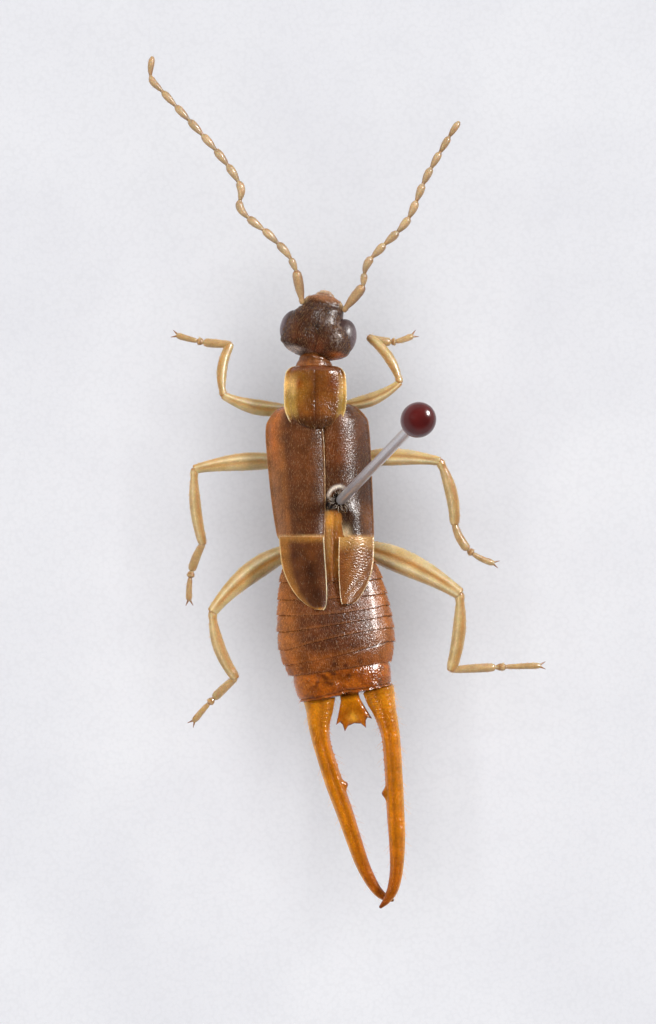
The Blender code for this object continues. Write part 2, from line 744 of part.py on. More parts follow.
LEGS = {
    "front_left": Leg(
        (-0.95, 4.36, -1.00), (-1.44, 4.14, -1.16), (-4.20, 4.68, -0.62), (-3.92, 6.76, -0.98),
        (-6.08, 7.12, -1.20), (-0.20, -0.20, -0.10), 0.63, 0.42,
    ),
    "front_right": Leg(
        (-0.07, 4.42, -1.00), (0.42, 4.26, -1.16), (2.88, 5.20, -0.62), (1.64, 7.04, -0.98),
        (3.40, 7.10, -1.20), (0.22, 0.20, 0.22), 0.54, 0.42,
    ),
    "middle_left": Leg(
        (-0.90, 2.10, -1.16), (-1.44, 2.02, -1.24), (-5.36, 1.72, -0.66), (-5.04, -1.28, -1.14),
        (-5.60, -3.56, -1.40), (0.15, 0.13, 0.18), 0.72, 0.46,
    ),
    "middle_right": Leg(
        (0.26, 2.12, -1.16), (0.84, 2.08, -1.24), (4.48, 2.04, -0.66), (5.10, -0.48, -1.14),
        (6.68, -2.06, -1.40), (-0.16, -0.16, 0.34), 0.70, 0.50,
    ),
    "hind_left": Leg(
        (-0.72, -1.00, -1.18), (-1.14, -1.36, -1.28), (-4.64, -4.00, -0.72), (-3.72, -6.68, -1.22),
        (-5.42, -8.44, -1.50), (0.32, 0.22, 0.06), 0.87, 0.50,
    ),
    "hind_right": Leg(
        (0.50, -1.00, -1.18), (0.94, -1.30, -1.28), (5.28, -3.28, -0.72), (4.96, -6.36, -1.22),
        (8.56, -6.20, -1.50), (-0.22, -0.15, -0.02), 1.00, 0.54,
    ),
}
THIGH_PROFILE = ((0.0, 0.50), (0.14, 0.78), (0.32, 1.0), (0.55, 0.96), (0.80, 0.70), (1.0, 0.50))
SHIN_PROFILE = ((0.0, 0.62), (0.20, 0.92), (0.48, 1.0), (0.78, 0.92), (1.0, 0.72))
FOOT_PROFILE = (
    (0.00, 0.72), (0.18, 0.94), (0.40, 1.00), (0.50, 0.72), (0.58, 0.80), (0.64, 0.66),
    (0.80, 0.70), (0.94, 0.74), (1.00, 0.60),
)
THIGH_FLATNESS = 0.68
FOOT_WIDTH = 0.46
FOOT_FLATNESS = 0.90
SHIN_FLATNESS = 0.85
CLAW_REACH = 0.30
CLAW_SPREAD = 0.13
CLAW_DROP = 0.12
CLAW_START = 0.05
HIP_TO_THIGH = 0.16


def bowed_rows(start, end, bow, profile, width, flatness, least):
    """Rows along an arc from start to end that stands out sideways by the bow."""
    a = Vector(start)
    b = Vector(end)
    side = (b - a).cross(Z_AXIS).normalized()
    rows = []
    for share, full in profile:
        centre = a.lerp(b, share) + side * (bow * 4 * share * (1 - share))
        half = 0.5 * max(width * full, least * min(1.0, full + 0.25))
        tall = max(half * flatness, 0.5 * least * min(1.0, full + 0.25))
        rows.append((*centre, half, tall, tall))
    return rows


def build_claws(foot, toe, ahead):
    """Joins the two hooked claws to the end of a foot."""
    side = ahead.cross(Z_AXIS).normalized()
    claws = []
    for sign in (-1, 1):
        rows = []
        for share, radius in ((-0.35, 0.09), (0.10, 0.085), (0.60, 0.065), (1.0, 0.025)):
            past = max(share, 0.0)
            centre = toe + ahead * (CLAW_REACH * share)
            centre += side * (sign * (CLAW_START + CLAW_SPREAD * past)) - Z_AXIS * (CLAW_DROP * past ** 2)
            rows.append((*centre, radius, radius, radius))
        claws.append(tube("claw", "amber", rows, rings=4, sides=6))
    return join(foot, claws)


def build_leg(label, bodies):
    """A leg in four nodes: hip, thigh, shin and foot, each cut clear of the one before."""
    leg = LEGS[label]
    root = Vector(leg.root)
    hip = Vector(leg.hip)
    hip_rows = (
        (*root, 0.44, 0.34, 0.34),
        (*root.lerp(hip, 0.6), 0.38, 0.34, 0.34),
        (*hip, 0.28, 0.28, 0.28),
    )
    coxa = tube(f"leg_{label}_hip", "pale", hip_rows, rings=5, sides=10)
    cut(coxa, *bodies)
    out = (Vector(leg.knee) - hip).normalized()
    thigh_bow, shin_bow, foot_bow = leg.bows
    thigh_start = hip + out * HIP_TO_THIGH
    rows = bowed_rows(
        thigh_start, leg.knee, thigh_bow, THIGH_PROFILE, leg.thigh_width, THIGH_FLATNESS, LEAST
    )
    thigh = tube(f"leg_{label}_thigh", "pale", rows, rings=9, sides=10)
    cut(thigh, coxa, *bodies)
    rows = bowed_rows(leg.knee, leg.ankle, shin_bow, SHIN_PROFILE, leg.shin_width, SHIN_FLATNESS, LEAST)
    shin = tube(f"leg_{label}_shin", "pale", rows, rings=8, sides=9)
    cut(shin, thigh)
    rows = bowed_rows(leg.ankle, leg.toe, foot_bow, FOOT_PROFILE, FOOT_WIDTH, FOOT_FLATNESS, 0.0)
    foot = tube(f"leg_{label}_foot", "pale", rows, rings=10, sides=7)
    toe = Vector(rows[-1][:3])
    ahead = (toe - Vector(rows[-2][:3])).normalized()
    cut(foot, shin)
    build_claws(foot, toe, ahead)


def pin_point(height):
    """The pin's axis at a height over the floor, in metres."""
    x, y, z = PIN_ENTRY
    rise = height - (z + BODY_HEIGHT)
    return Vector((x + PIN_LEAN[0] * rise, y + PIN_LEAN[1] * rise, height)) * MM


def build_pin():
    """The steel pin, whose foot stands in the board."""
    top = BODY_HEIGHT + PIN_ENTRY[2] + PIN_ABOVE
    return rod("stand_pin", "steel", pin_point(PIN_FOOT_HEIGHT), pin_point(top), PIN_WIDTH / 2 * MM)


def build_pin_head():
    """The round bead on top of the pin, a gap above the end of the steel."""
    top = BODY_HEIGHT + PIN_ENTRY[2] + PIN_ABOVE
    centre = pin_point(top + GAP + PIN_HEAD_LENGTH / 2) / MM
    half = PIN_HEAD_WIDTH / 2
    place = (centre.x, centre.y, centre.z - BODY_HEIGHT)
    return ball("stand_pin_head", "head", place, (half, half, PIN_HEAD_LENGTH / 2), sides=18, rings=10)


def build_board(pin):
    """The foam board with rounded corners and edges, and the hole that the pin stands in."""
    bm = bmesh.new()
    size = Matrix.Diagonal((BOARD_WIDTH * MM, BOARD_LENGTH * MM, BOARD_THICKNESS * MM, 1.0))
    place = Matrix.Translation((0.0, 0.0, BOARD_THICKNESS * MM / 2)) @ size
    bmesh.ops.create_cube(bm, size=1.0, matrix=place)
    upright = [e for e in bm.edges if abs(e.verts[0].co.z - e.verts[1].co.z) > MM]
    bmesh.ops.bevel(
        bm, geom=upright, offset=BOARD_CORNER * MM, segments=4, profile=0.5, affect="EDGES"
    )
    top = [e for e in bm.edges if min(v.co.z for v in e.verts) > (BOARD_THICKNESS - 0.01) * MM]
    bmesh.ops.bevel(bm, geom=top, offset=BOARD_EDGE * MM, segments=2, profile=0.5, affect="EDGES")
    board = new_object("stand_board", mesh_of("stand_board", bm), "board")
    return cut(board, pin, gap=PIN_CLEARANCE)


def main():
    """Builds the board, the pin and every part of the earwig."""
    clear_scene()
    pin = build_pin()
    build_pin_head()
    build_board(pin)
    skull = build_head()
    for label in FEELERS:
        build_feeler(label, skull)
    shield, front_core = build_neck_and_shield(skull)
    left_case, right_case, tips = build_wings((shield, front_core), pin)
    cases = (left_case, right_case)
    trunk = build_trunk((front_core, shield, *cases, *tips), pin)
    abdomen, last = build_abdomen(trunk, cases, tips)
    end_plate = build_end_plate(last)
    build_pincers(last, end_plate)
    bodies = (front_core, trunk, abdomen, *cases, shield)
    for label in LEGS:
        build_leg(label, bodies)


main()
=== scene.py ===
"""Dresses a pinned earwig on its foam board for a museum shelf.

Every length is in millimetres until a mesh is made. Body points are measured from the middle of
the body: x to its right, y towards its head and z up its back, as in the part itself.
"""

from __future__ import annotations

import json
import logging
import math
from dataclasses import dataclass, field
from enum import Enum
from typing import Callable, Iterable, NamedTuple

import bpy
import numpy as np
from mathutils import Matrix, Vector

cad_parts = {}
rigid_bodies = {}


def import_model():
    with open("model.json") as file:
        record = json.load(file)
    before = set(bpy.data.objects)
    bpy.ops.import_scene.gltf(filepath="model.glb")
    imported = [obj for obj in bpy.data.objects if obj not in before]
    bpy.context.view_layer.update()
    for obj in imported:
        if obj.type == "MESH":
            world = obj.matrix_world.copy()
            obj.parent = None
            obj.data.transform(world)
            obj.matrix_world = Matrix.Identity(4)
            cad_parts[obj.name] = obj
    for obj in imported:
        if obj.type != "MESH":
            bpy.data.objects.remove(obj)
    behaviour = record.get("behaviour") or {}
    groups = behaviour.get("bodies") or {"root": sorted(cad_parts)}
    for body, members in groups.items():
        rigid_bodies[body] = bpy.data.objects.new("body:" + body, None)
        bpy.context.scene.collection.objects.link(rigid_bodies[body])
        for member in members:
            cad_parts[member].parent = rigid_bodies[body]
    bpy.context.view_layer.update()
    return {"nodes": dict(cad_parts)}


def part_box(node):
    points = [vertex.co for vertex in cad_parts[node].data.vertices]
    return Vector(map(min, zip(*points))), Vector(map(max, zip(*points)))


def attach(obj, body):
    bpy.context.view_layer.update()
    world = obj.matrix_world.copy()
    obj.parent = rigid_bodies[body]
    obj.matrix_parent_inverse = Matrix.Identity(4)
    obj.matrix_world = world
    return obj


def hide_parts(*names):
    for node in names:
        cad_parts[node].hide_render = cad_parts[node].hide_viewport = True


Array = np.ndarray
Socket = bpy.types.NodeSocket
Piece = bpy.types.Object
SHARP_ANGLE = 62

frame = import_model()

LOG = logging.getLogger("earwig")
MM = 0.001
ROOT = "root"
PRONOTUM_TOP = 1.02
BODY_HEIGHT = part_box("pronotum")[1].z / MM - PRONOTUM_TOP
UP = np.array((0.0, 0.0, 1.0))

Colour = tuple[float, float, float]
Row = tuple[float, ...]
Point = tuple[float, float, float]


class Slot(Enum):
    """The record's material slots."""

    HEAD = "head_cuticle"
    EYE = "eye_lens"
    MOUTH = "mouth_cuticle"
    FEELER = "feeler_cuticle"
    THORAX = "thorax_cuticle"
    CASE = "wing_case_cuticle"
    MEMBRANE = "wing_membrane"
    ABDOMEN = "abdomen_cuticle"
    PINCER = "pincer_cuticle"
    LEG = "leg_cuticle"
    PIN = "pin_steel"
    BEAD = "pin_bead"
    BOARD = "foam_board"


class Side(Enum):
    """The two sides of the insect, by the sign of x."""

    LEFT = -1
    RIGHT = 1

    @property
    def label(self) -> str:
        """The side's name as the nodes spell it."""
        return self.name.lower()


def tone(red: int, green: int, blue: int) -> Colour:
    """Turns a colour as a screen shows it into the linear one that the shader takes.

    Args:
        red: The red part, from 0 to 255.
        green: The green part.
        blue: The blue part.

    Returns:
        The linear colour.
    """
    shares = (part / 255 for part in (red, green, blue))
    return tuple(s / 12.92 if s <= 0.04045 else ((s + 0.055) / 1.055) ** 2.4 for s in shares)


BLACK_BROWN = tone(38, 20, 14)
RED_BROWN = tone(96, 46, 20)
AMBER = tone(196, 126, 34)
STRAW = tone(206, 170, 112)
CREAM = tone(232, 214, 176)


def ramp(value: Array, low: float, high: float) -> Array:
    """Rises smoothly from 0 at low to 1 at high, or falls where low is the larger.

    Args:
        value: The numbers to judge.
        low: Where the result is 0.
        high: Where the result is 1.

    Returns:
        Shares from 0 to 1.
    """
    share = np.clip((value - low) / (high - low), 0.0, 1.0)
    return share * share * (3 - 2 * share)


def bump_at(value: Array, centre: float, width: float) -> Array:
    """A smooth bell of height 1 about a centre."""
    return np.exp(-(((value - centre) / width) ** 2))


def blend(base: Array | Colour, top: Array | Colour, share: Array) -> Array:
    """Lays one colour over another.

    Args:
        base: The colour, or colours, below.
        top: The colour, or colours, above.
        share: How much of the upper one shows at each point.

    Returns:
        One colour for each point.
    """
    weight = np.clip(share, 0.0, 1.0)[..., None]
    return np.asarray(base) * (1 - weight) + np.asarray(top) * weight


def over(colour: Array, red: float, green: float, blue: float,
        share: Array | float) -> Array:
    """Blends a colour given as 0 to 255 over another by a share."""
    return blend(colour, tone(red, green, blue), share)


def ripple(x: Array, y: Array, size: float, seed: float = 0.0) -> Array:
    """A cheap uneven field for soft blotches, about 0 and mostly within 1.

    Args:
        x: One coordinate of each point, in millimetres.
        y: The other coordinate.
        size: The blotches' size, in millimetres.
        seed: Moves the pattern.

    Returns:
        The field at each point.
    """
    a = x / size * 2.1 + seed
    b = y / size * 2.1 - seed * 1.7
    field_a = np.sin(a + 1.3 * np.sin(b * 0.83 + 2.1)) * np.cos(b * 1.11 + 1.7 * np.sin(a * 0.71))
    field_b = np.sin(1.93 * a + 2.3 * b + 1.1) * np.cos(2.17 * b - 1.3 * a)
    return 0.65 * field_a + 0.35 * field_b


def through(rows: Iterable[Row], shares: Array) -> Array:
    """Reads the rows' numbers on a smooth curve through all of them.

    Args:
        rows: The rows, evenly spaced in the curve's own parameter.
        shares: Where to read, from 0 at the first row to 1 at the last.

    Returns:
        One row of numbers for each share.
    """
    table = np.array(list(rows), float)
    span = np.clip(shares, 0.0, 1.0) * (len(table) - 1)
    first = np.minimum(span.astype(int), len(table) - 2)
    f = (span - first)[:, None]
    a = table[np.maximum(first - 1, 0)]
    b = table[first]
    c = table[first + 1]
    d = table[np.minimum(first + 2, len(table) - 1)]
    return b + 0.5 * f * (c - a + f * (2 * a - 5 * b + 4 * c - d + f * (3 * (b - c) + d - a)))


@dataclass
class Place:
    """Where the points of a skin are, for painting and relief.

    Attributes:
        x: To the insect's right, in millimetres.
        y: Towards its head.
        z: Up its back.
        across: The share of the way round or across the skin.
        along: The share of the way along it.
    """

    x: Array
    y: Array
    z: Array
    across: Array
    along: Array


Paint = Callable[[Place], Array]


def even(value: float) -> Paint:
    """Gives a paint with the same value at every place."""
    return lambda place: value + 0 * place.x
Field = Callable[[Array, Array], Array]


@dataclass
class Skin:
    """A grid of body points that becomes one closed skin.

    Attributes:
        grid: The points, by row along the skin and column round it.
        ends: The two points that close the skin, or nothing where its two faces meet there.
    """

    grid: Array
    ends: tuple[Array, Array] | None = None

    def faces(self) -> tuple[list[tuple[int, ...]], list[list[tuple[float, float]]]]:
        """Lists the faces and the unwrapped place of each of their corners.

        Returns:
            The faces' corner numbers, and a pair of shares for each corner.
        """
        rows, columns = self.grid.shape[:2]
        faces = []
        places = []
        for j in range(rows - 1):
            low, high = (j + 0.5) / rows, (j + 1.5) / rows
            for i in range(columns):
                k = (i + 1) % columns
                left, right = i / columns, (i + 1) / columns
                near, far = j * columns, (j + 1) * columns
                faces.append((near + i, far + i, far + k, near + k))
                places.append([(left, low), (left, high), (right, high), (right, low)])
        for row, level in ((0, 0.0), (rows - 1, 1.0)):
            start = row * columns
            rim = (row + 0.5) / rows
            if self.ends is None:
                for i in range(columns // 2 - 1):
                    ring = (i, i + 1, columns - 2 - i, columns - 1 - i)
                    face = [start + n for n in ring]
                    spots = [((n + 0.5) / columns, rim) for n in ring]
                    faces.append(tuple(face if row == 0 else face[::-1]))
                    places.append(spots if row == 0 else spots[::-1])
                continue
            tip = rows * columns + (0 if row == 0 else 1)
            for i in range(columns):
                k = (i + 1) % columns
                left, right = i / columns, (i + 1) / columns
                face = (tip, start + i, start + k)
                spots = [((left + right) / 2, level), (left, rim), (right, rim)]
                faces.append(face if row == 0 else face[::-1])
                places.append(spots if row == 0 else spots[::-1])
        return faces, places

    def place(self) -> Place:
        """Measures every point of the skin, with its two ends last."""
        rows, columns = self.grid.shape[:2]
        across, along = np.meshgrid(
            np.linspace(0, 1, columns, endpoint=False), np.linspace(0, 1, rows)
        )
        points = self.grid.reshape(-1, 3)
        across = across.ravel()
        along = along.ravel()
        if self.ends is not None:
            points = np.vstack([points, self.ends[0], self.ends[1]])
            across = np.append(across, (0.25, 0.25))
            along = np.append(along, (0.0, 1.0))
        return Place(points[:, 0], points[:, 1], points[:, 2], across, along)

    def lie(self) -> Array:
        """Gives the direction along the skin at each point, which its down follows."""
        steps = np.gradient(self.grid, axis=0).reshape(-1, 3)
        if self.ends is not None:
            steps = np.vstack([steps, steps[:1], steps[-1:]])
        return steps / np.maximum(np.linalg.norm(steps, axis=1), 1e-9)[:, None]

    def mesh(self, name: str, paint: Paint, down: Paint | None = None) -> bpy.types.Mesh:
        """Makes the painted mesh, in metres.

        Args:
            name: The mesh's name.
            paint: Gives the colour of each point.
            down: Gives how thickly the down grows at each point, from 0 to 1.

        Returns:
            The mesh, with its unwrap in the map Skin, its colours in the attribute Tint, and the
            down's direction and thickness in Lie and Down.
        """
        place = self.place()
        points = np.stack([place.x, place.y, place.z + BODY_HEIGHT], axis=1) * MM
        faces, places = self.faces()
        if self._inside_out(points, faces):
            faces = [face[::-1] for face in faces]
            places = [spots[::-1] for spots in places]
        mesh = bpy.data.meshes.new(name)
        mesh.from_pydata(points.tolist(), [], faces)
        unwrap = mesh.uv_layers.new(name="Skin")
        unwrap.data.foreach_set("uv", np.array([p for spots in places for p in spots]).ravel())
        colours = np.ones((len(points), 4), np.float32)
        colours[:, :3] = np.clip(paint(place), 0.0, 1.0)
        tint = mesh.attributes.new("Tint", "FLOAT_COLOR", "POINT")
        tint.data.foreach_set("color", colours.ravel())
        lie = mesh.attributes.new("Lie", "FLOAT_VECTOR", "POINT")
        lie.data.foreach_set("vector", self.lie().astype(np.float32).ravel())
        growth = mesh.attributes.new("Down", "FLOAT", "POINT")
        amount = np.zeros(len(points)) if down is None else down(place) * np.ones(len(points))
        growth.data.foreach_set("value", amount.astype(np.float32))
        mesh.shade_smooth()
        mesh.set_sharp_from_angle(angle=math.radians(SHARP_ANGLE))
        return mesh

    @staticmethod
    def _inside_out(points: Array, faces: list[tuple[int, ...]]) -> bool:
        """Tells whether the faces point inwards, from the volume that they enclose.

        Args:
            points: The skin's points.
            faces: The faces' corner numbers.

        Returns:
            Whether the volume is negative.
        """
        fans = [(f[0], f[i], f[i + 1]) for f in faces for i in range(1, len(f) - 1)]
        a, b, c = (points[list(corner)] for corner in zip(*fans))
        middle = points.mean(axis=0)
        return float((np.cross(b - middle, c - middle) * (a - middle)).sum()) < 0


@dataclass
class Loft:
    """A round body along a path.

    Attributes:
        rows: x, y, z, half width, height above the path and depth below it, for each station.
        rings: How many rings the body has.
        sides: How many points each ring has.
        power: The ring's form, 2 for an ellipse and more for a squarer one.
        dome: How far the ends bulge, as a share of their half width.
        relief: Millimetres to raise the skin by, from the share round it and along it.
    """

    rows: tuple[Row, ...]
    rings: int
    sides: int
    power: float = 2.0
    dome: float = 0.5
    relief: Field | None = None

    def skin(self) -> Skin:
        """Works out the skin.

        Returns:
            The closed skin. A quarter of the way round is its top.
        """
        samples = through(self.rows, np.linspace(0, 1, self.rings))
        centres = samples[:, :3]
        steps = np.gradient(centres, axis=0)
        along = steps / np.linalg.norm(steps, axis=1)[:, None]
        side = np.cross(along, UP)
        side /= np.linalg.norm(side, axis=1)[:, None]
        up = np.cross(side, along)
        angles = np.linspace(0, 2 * math.pi, self.sides, endpoint=False)
        c = np.cos(angles)
        s = np.sin(angles)
        c = np.sign(c) * np.abs(c) ** (2 / self.power)
        s = np.sign(s) * np.abs(s) ** (2 / self.power)
        caps = 4
        turns = np.linspace(0, math.pi / 2, caps + 1)[1:-1]
        rings = []
        order = []
        for share in turns[::-1]:
            order.append((0, -1, math.cos(share), math.sin(share)))
        order += [(i, 0, 1.0, 0.0) for i in range(self.rings)]
        for share in turns:
            order.append((self.rings - 1, 1, math.cos(share), math.sin(share)))
        for i, way, shrink, push in order:
            half, rise, drop = samples[i, 3:6]
            reach = self.dome * min(half, rise)
            offset = side[i] * (c * half * shrink)[:, None]
            offset = offset + up[i] * (s * np.where(s > 0, rise, drop) * shrink)[:, None]
            rings.append(centres[i] + along[i] * (way * push * reach) + offset)
        grid = np.array(rings)
        if self.relief is not None:
            grid = self._raised(grid)
        first = centres[0] - along[0] * self.dome * min(samples[0, 3], samples[0, 4])
        last = centres[-1] + along[-1] * self.dome * min(samples[-1, 3], samples[-1, 4])
        return Skin(grid, (first, last))

    def _raised(self, grid: Array) -> Array:
        """Moves the points out by the relief.

        Args:
            grid: The plain skin's points.

        Returns:
            The raised skin's points.
        """
        around = np.roll(grid, -1, axis=1) - np.roll(grid, 1, axis=1)
        ahead = np.gradient(grid, axis=0)
        normal = np.cross(around, ahead)
        normal /= np.maximum(np.linalg.norm(normal, axis=2), 1e-9)[..., None]
        centre = grid.mean(axis=1, keepdims=True)
        outward = np.sign((normal * (grid - centre)).sum(axis=2, keepdims=True))
        across, along = np.meshgrid(
            np.linspace(0, 1, grid.shape[1], endpoint=False), np.linspace(0, 1, grid.shape[0])
        )
        return grid + normal * outward * self.relief(across, along)[..., None]


@dataclass
class Shell:
    """A thin curved plate, such as a wing case.

    Attributes:
        rows: y and the x of the inner and of the outer edge, for each station.
        height: Gives z from the share across and along.
        across: How many points the plate has across.
        along: How many points it has along.
        thickness: How thick it is away from its rim.
        rim: How thick it is at its rim.
    """

    rows: tuple[Row, ...]
    height: Field
    across: int
    along: int
    thickness: float = 0.16
    rim: float = 0.05

    def skin(self) -> Skin:
        """Works out the upper and lower faces as one wrapped skin, closed along both ends.

        Returns:
            The closed skin, whose first half is the upper face.
        """
        stations = through(self.rows, np.linspace(0, 1, self.along))
        shares = np.linspace(0, 1, self.across)
        s, t = np.meshgrid(shares, np.linspace(0, 1, self.along))
        y = np.repeat(stations[:, :1], self.across, axis=1)
        x = stations[:, 1:2] + (stations[:, 2:3] - stations[:, 1:2]) * s
        top = np.stack([x, y, self.height(s, t)], axis=2)
        inset = np.minimum.reduce([s, 1 - s, t * 1.6, (1 - t) * 1.6])
        deep = self.rim + (self.thickness - self.rim) * ramp(inset, 0.0, 0.10)
        right = np.gradient(top, axis=1)
        ahead = np.gradient(top, axis=0)
        normal = np.cross(right, ahead)
        normal /= np.linalg.norm(normal, axis=2)[..., None]
        normal *= np.sign(normal[..., 2:3])
        under = top - normal * deep[..., None]
        return Skin(np.concatenate([top, under[:, ::-1]], axis=1))

    def split(self, place: Place) -> tuple[Array, Array]:
        """Turns the wrapped share of a point into its share across the plate.

        Args:
            place: The skin's points.

        Returns:
            The share across, and whether the point is on the upper face.
        """
        columns = place.across * 2 * self.across
        upper = columns < self.across
        share = np.where(upper, columns, 2 * self.across - 1 - columns) / (self.across - 1)
        return np.clip(share, 0, 1), upper


class Graph:
    """A short way to write a shader's nodes."""

    def __init__(self, name: str) -> None:
        """Starts an empty material.

        Args:
            name: The material's name.
        """
        self.material = bpy.data.materials.new(name)
        self.material.use_nodes = True
        self.tree = self.material.node_tree
        self.shader = self.tree.nodes["Principled BSDF"]
        self.place = self.tree.nodes.new("ShaderNodeTexCoord").outputs["Object"]

    def link(self, source: Socket, target: Socket) -> None:
        """Joins two sockets."""
        self.tree.links.new(source, target)

    def node(self, kind: str, **values: object) -> bpy.types.Node:
        """Adds a node and sets its properties."""
        made = self.tree.nodes.new(kind)
        for name, value in values.items():
            setattr(made, name, value)
        return made

    def stretch(self, scale: Point) -> Socket:
        """Gives the object's coordinates, scaled along each axis."""
        mapping = self.node("ShaderNodeMapping")
        mapping.inputs["Scale"].default_value = scale
        self.link(self.place, mapping.inputs["Vector"])
        return mapping.outputs["Vector"]

    def noise(
        self, size: float, detail: float = 2.0, vector: Socket | None = None
    ) -> Socket:
        """Adds a noise whose grains have a size in millimetres.

        Args:
            size: The grains' size.
            detail: How many finer layers it has.
            vector: The coordinates it reads, the object's own by default.

        Returns:
            The noise's value.
        """
        made = self.node("ShaderNodeTexNoise")
        made.inputs["Scale"].default_value = 1 / (size * MM)
        made.inputs["Detail"].default_value = detail
        self.link(vector or self.place, made.inputs["Vector"])
        return made.outputs["Fac"]

    def cells(self, size: float) -> Socket:
        """Adds a cell pattern and gives the distance from each cell's middle."""
        made = self.node("ShaderNodeTexVoronoi", feature="F1")
        made.inputs["Scale"].default_value = 1 / (size * MM)
        self.link(self.place, made.inputs["Vector"])
        return made.outputs["Distance"]

    def spread(
        self, value: Socket, source: tuple[float, float], target: tuple[float, float]
    ) -> Socket:
        """Maps one range of numbers to another."""
        made = self.node("ShaderNodeMapRange")
        for socket, number in zip(
            ("From Min", "From Max", "To Min", "To Max"), (*source, *target)
        ):
            made.inputs[socket].default_value = number
        self.link(value, made.inputs["Value"])
        return made.outputs["Result"]

    def mix(
        self, share: Socket, a: Socket | Colour,
        b: Socket | Colour, mode: str = "MIX",
    ) -> Socket:
        """Mixes two colours.

        Args:
            share: How much of the second shows.
            a: The first colour, or the socket that gives it.
            b: The second one.
            mode: The way they mix.

        Returns:
            The mixed colour.
        """
        made = self.node("ShaderNodeMix", data_type="RGBA", blend_type=mode)
        self.link(share, made.inputs[0])
        for socket, colour in ((made.inputs[6], a), (made.inputs[7], b)):
            if isinstance(colour, Socket):
                self.link(colour, socket)
            else:
                socket.default_value = (*colour, 1.0)
        return made.outputs[2]

    def bump(
        self, height: Socket, depth: float, strength: float,
        under: Socket | None = None,
    ) -> Socket:
        """Adds a bump.

        Args:
            height: The height pattern.
            depth: Its depth, in millimetres.
            strength: How strongly it tells.
            under: The normal of a bump below this one.

        Returns:
            The bumped normal.
        """
        made = self.node("ShaderNodeBump")
        made.inputs["Strength"].default_value = strength
        made.inputs["Distance"].default_value = depth * MM
        self.link(height, made.inputs["Height"])
        if under is not None:
            self.link(under, made.inputs["Normal"])
        return made.outputs["Normal"]

    def constants(self, **values: object) -> None:
        """Sets numbers that are the same all over on the shader itself."""
        for name, value in values.items():
            self.shader.inputs[name.replace("_", " ")].default_value = value


@dataclass(frozen=True)
class Cuticle:
    """The finish of a painted body surface.

    Attributes:
        name: The material's name.
        roughness: How dull the surface is.
        coat: How strong its clear gloss is.
        scatter: How much light enters it.
        scatter_reach: How far that light travels, in millimetres.
        pit: The spacing of its fine pits, in millimetres.
        pit_depth: How strongly they tell.
        grain: The size of its fine wrinkles, in millimetres.
        grain_depth: How strongly they tell.
        mottle: How much its colour varies.
        down: How much the flat pale down shows.
        stretch: How the down and wrinkles are drawn out along x, y and z.
    """

    name: str
    roughness: float = 0.38
    coat: float = 0.35
    scatter: float = 0.25
    scatter_reach: float = 0.15
    pit: float = 0.11
    pit_depth: float = 0.35
    grain: float = 0.05
    grain_depth: float = 0.35
    mottle: float = 0.25
    down: float = 0.25
    stretch: Point = (1.0, 0.28, 1.0)

    def material(self) -> bpy.types.Material:
        """Builds the material.

        Returns:
            The material, which reads the skin's own colours from the attribute Tint.
        """
        graph = Graph(self.name)
        tint = graph.node("ShaderNodeAttribute", attribute_name="Tint").outputs["Color"]
        blotch = graph.noise(0.55, 3.0)
        shade = graph.spread(blotch, (0.30, 0.70), (1 - self.mottle, 1 + self.mottle * 0.6))
        fine = graph.noise(self.grain * 1.6, 2.0)
        fine_shade = graph.spread(fine, (0.30, 0.70),
                (1 - self.mottle * 0.7, 1 + self.mottle * 0.7))
        product = graph.node("ShaderNodeMath", operation="MULTIPLY")
        graph.link(shade, product.inputs[0])
        graph.link(fine_shade, product.inputs[1])
        scaled = graph.node("ShaderNodeVectorMath", operation="SCALE")
        graph.link(tint, scaled.inputs[0])
        graph.link(product.outputs[0], scaled.inputs["Scale"])
        drawn = graph.stretch(self.stretch)
        strand = graph.noise(0.045, 1.0, drawn)
        streak = graph.spread(strand, (0.62, 0.74), (0.0, self.down))
        colour = graph.mix(streak, scaled.outputs[0], CREAM)
        graph.link(colour, graph.shader.inputs["Base Color"])
        pits = graph.cells(self.pit)
        low = graph.bump(pits, self.pit * 0.35, self.pit_depth)
        grain = graph.noise(self.grain, 2.0, drawn)
        normal = graph.bump(grain, self.grain * 0.6, self.grain_depth, low)
        graph.link(normal, graph.shader.inputs["Normal"])
        graph.constants(
            Roughness=self.roughness,
            Coat_Weight=self.coat,
            Coat_Roughness=0.12,
            Subsurface_Weight=self.scatter,
            Subsurface_Radius=(1.0, 0.45, 0.16),
            Subsurface_Scale=self.scatter_reach * MM,
            IOR=1.5,
        )
        return graph.material


@dataclass(frozen=True)
class EyeFinish:
    """The finish of a compound eye, a dark dome of tiny facets."""

    facet: float = 0.034
    roughness: float = 0.36

    def material(self) -> bpy.types.Material:
        """Builds the eye's material."""
        graph = Graph("eye facets")
        tint = graph.node("ShaderNodeAttribute", attribute_name="Tint").outputs["Color"]
        facets = graph.cells(self.facet)
        rim = graph.spread(facets, (0.25, 0.62), (0.0, 0.6))
        colour = graph.mix(rim, tint, BLACK_BROWN)
        graph.link(colour, graph.shader.inputs["Base Color"])
        dome = graph.spread(facets, (0.0, 0.7), (1.0, 0.0))
        graph.link(graph.bump(dome, self.facet * 0.4, 0.5), graph.shader.inputs["Normal"])
        graph.constants(Roughness=self.roughness, Coat_Weight=0.25, Coat_Roughness=0.25)
        return graph.material


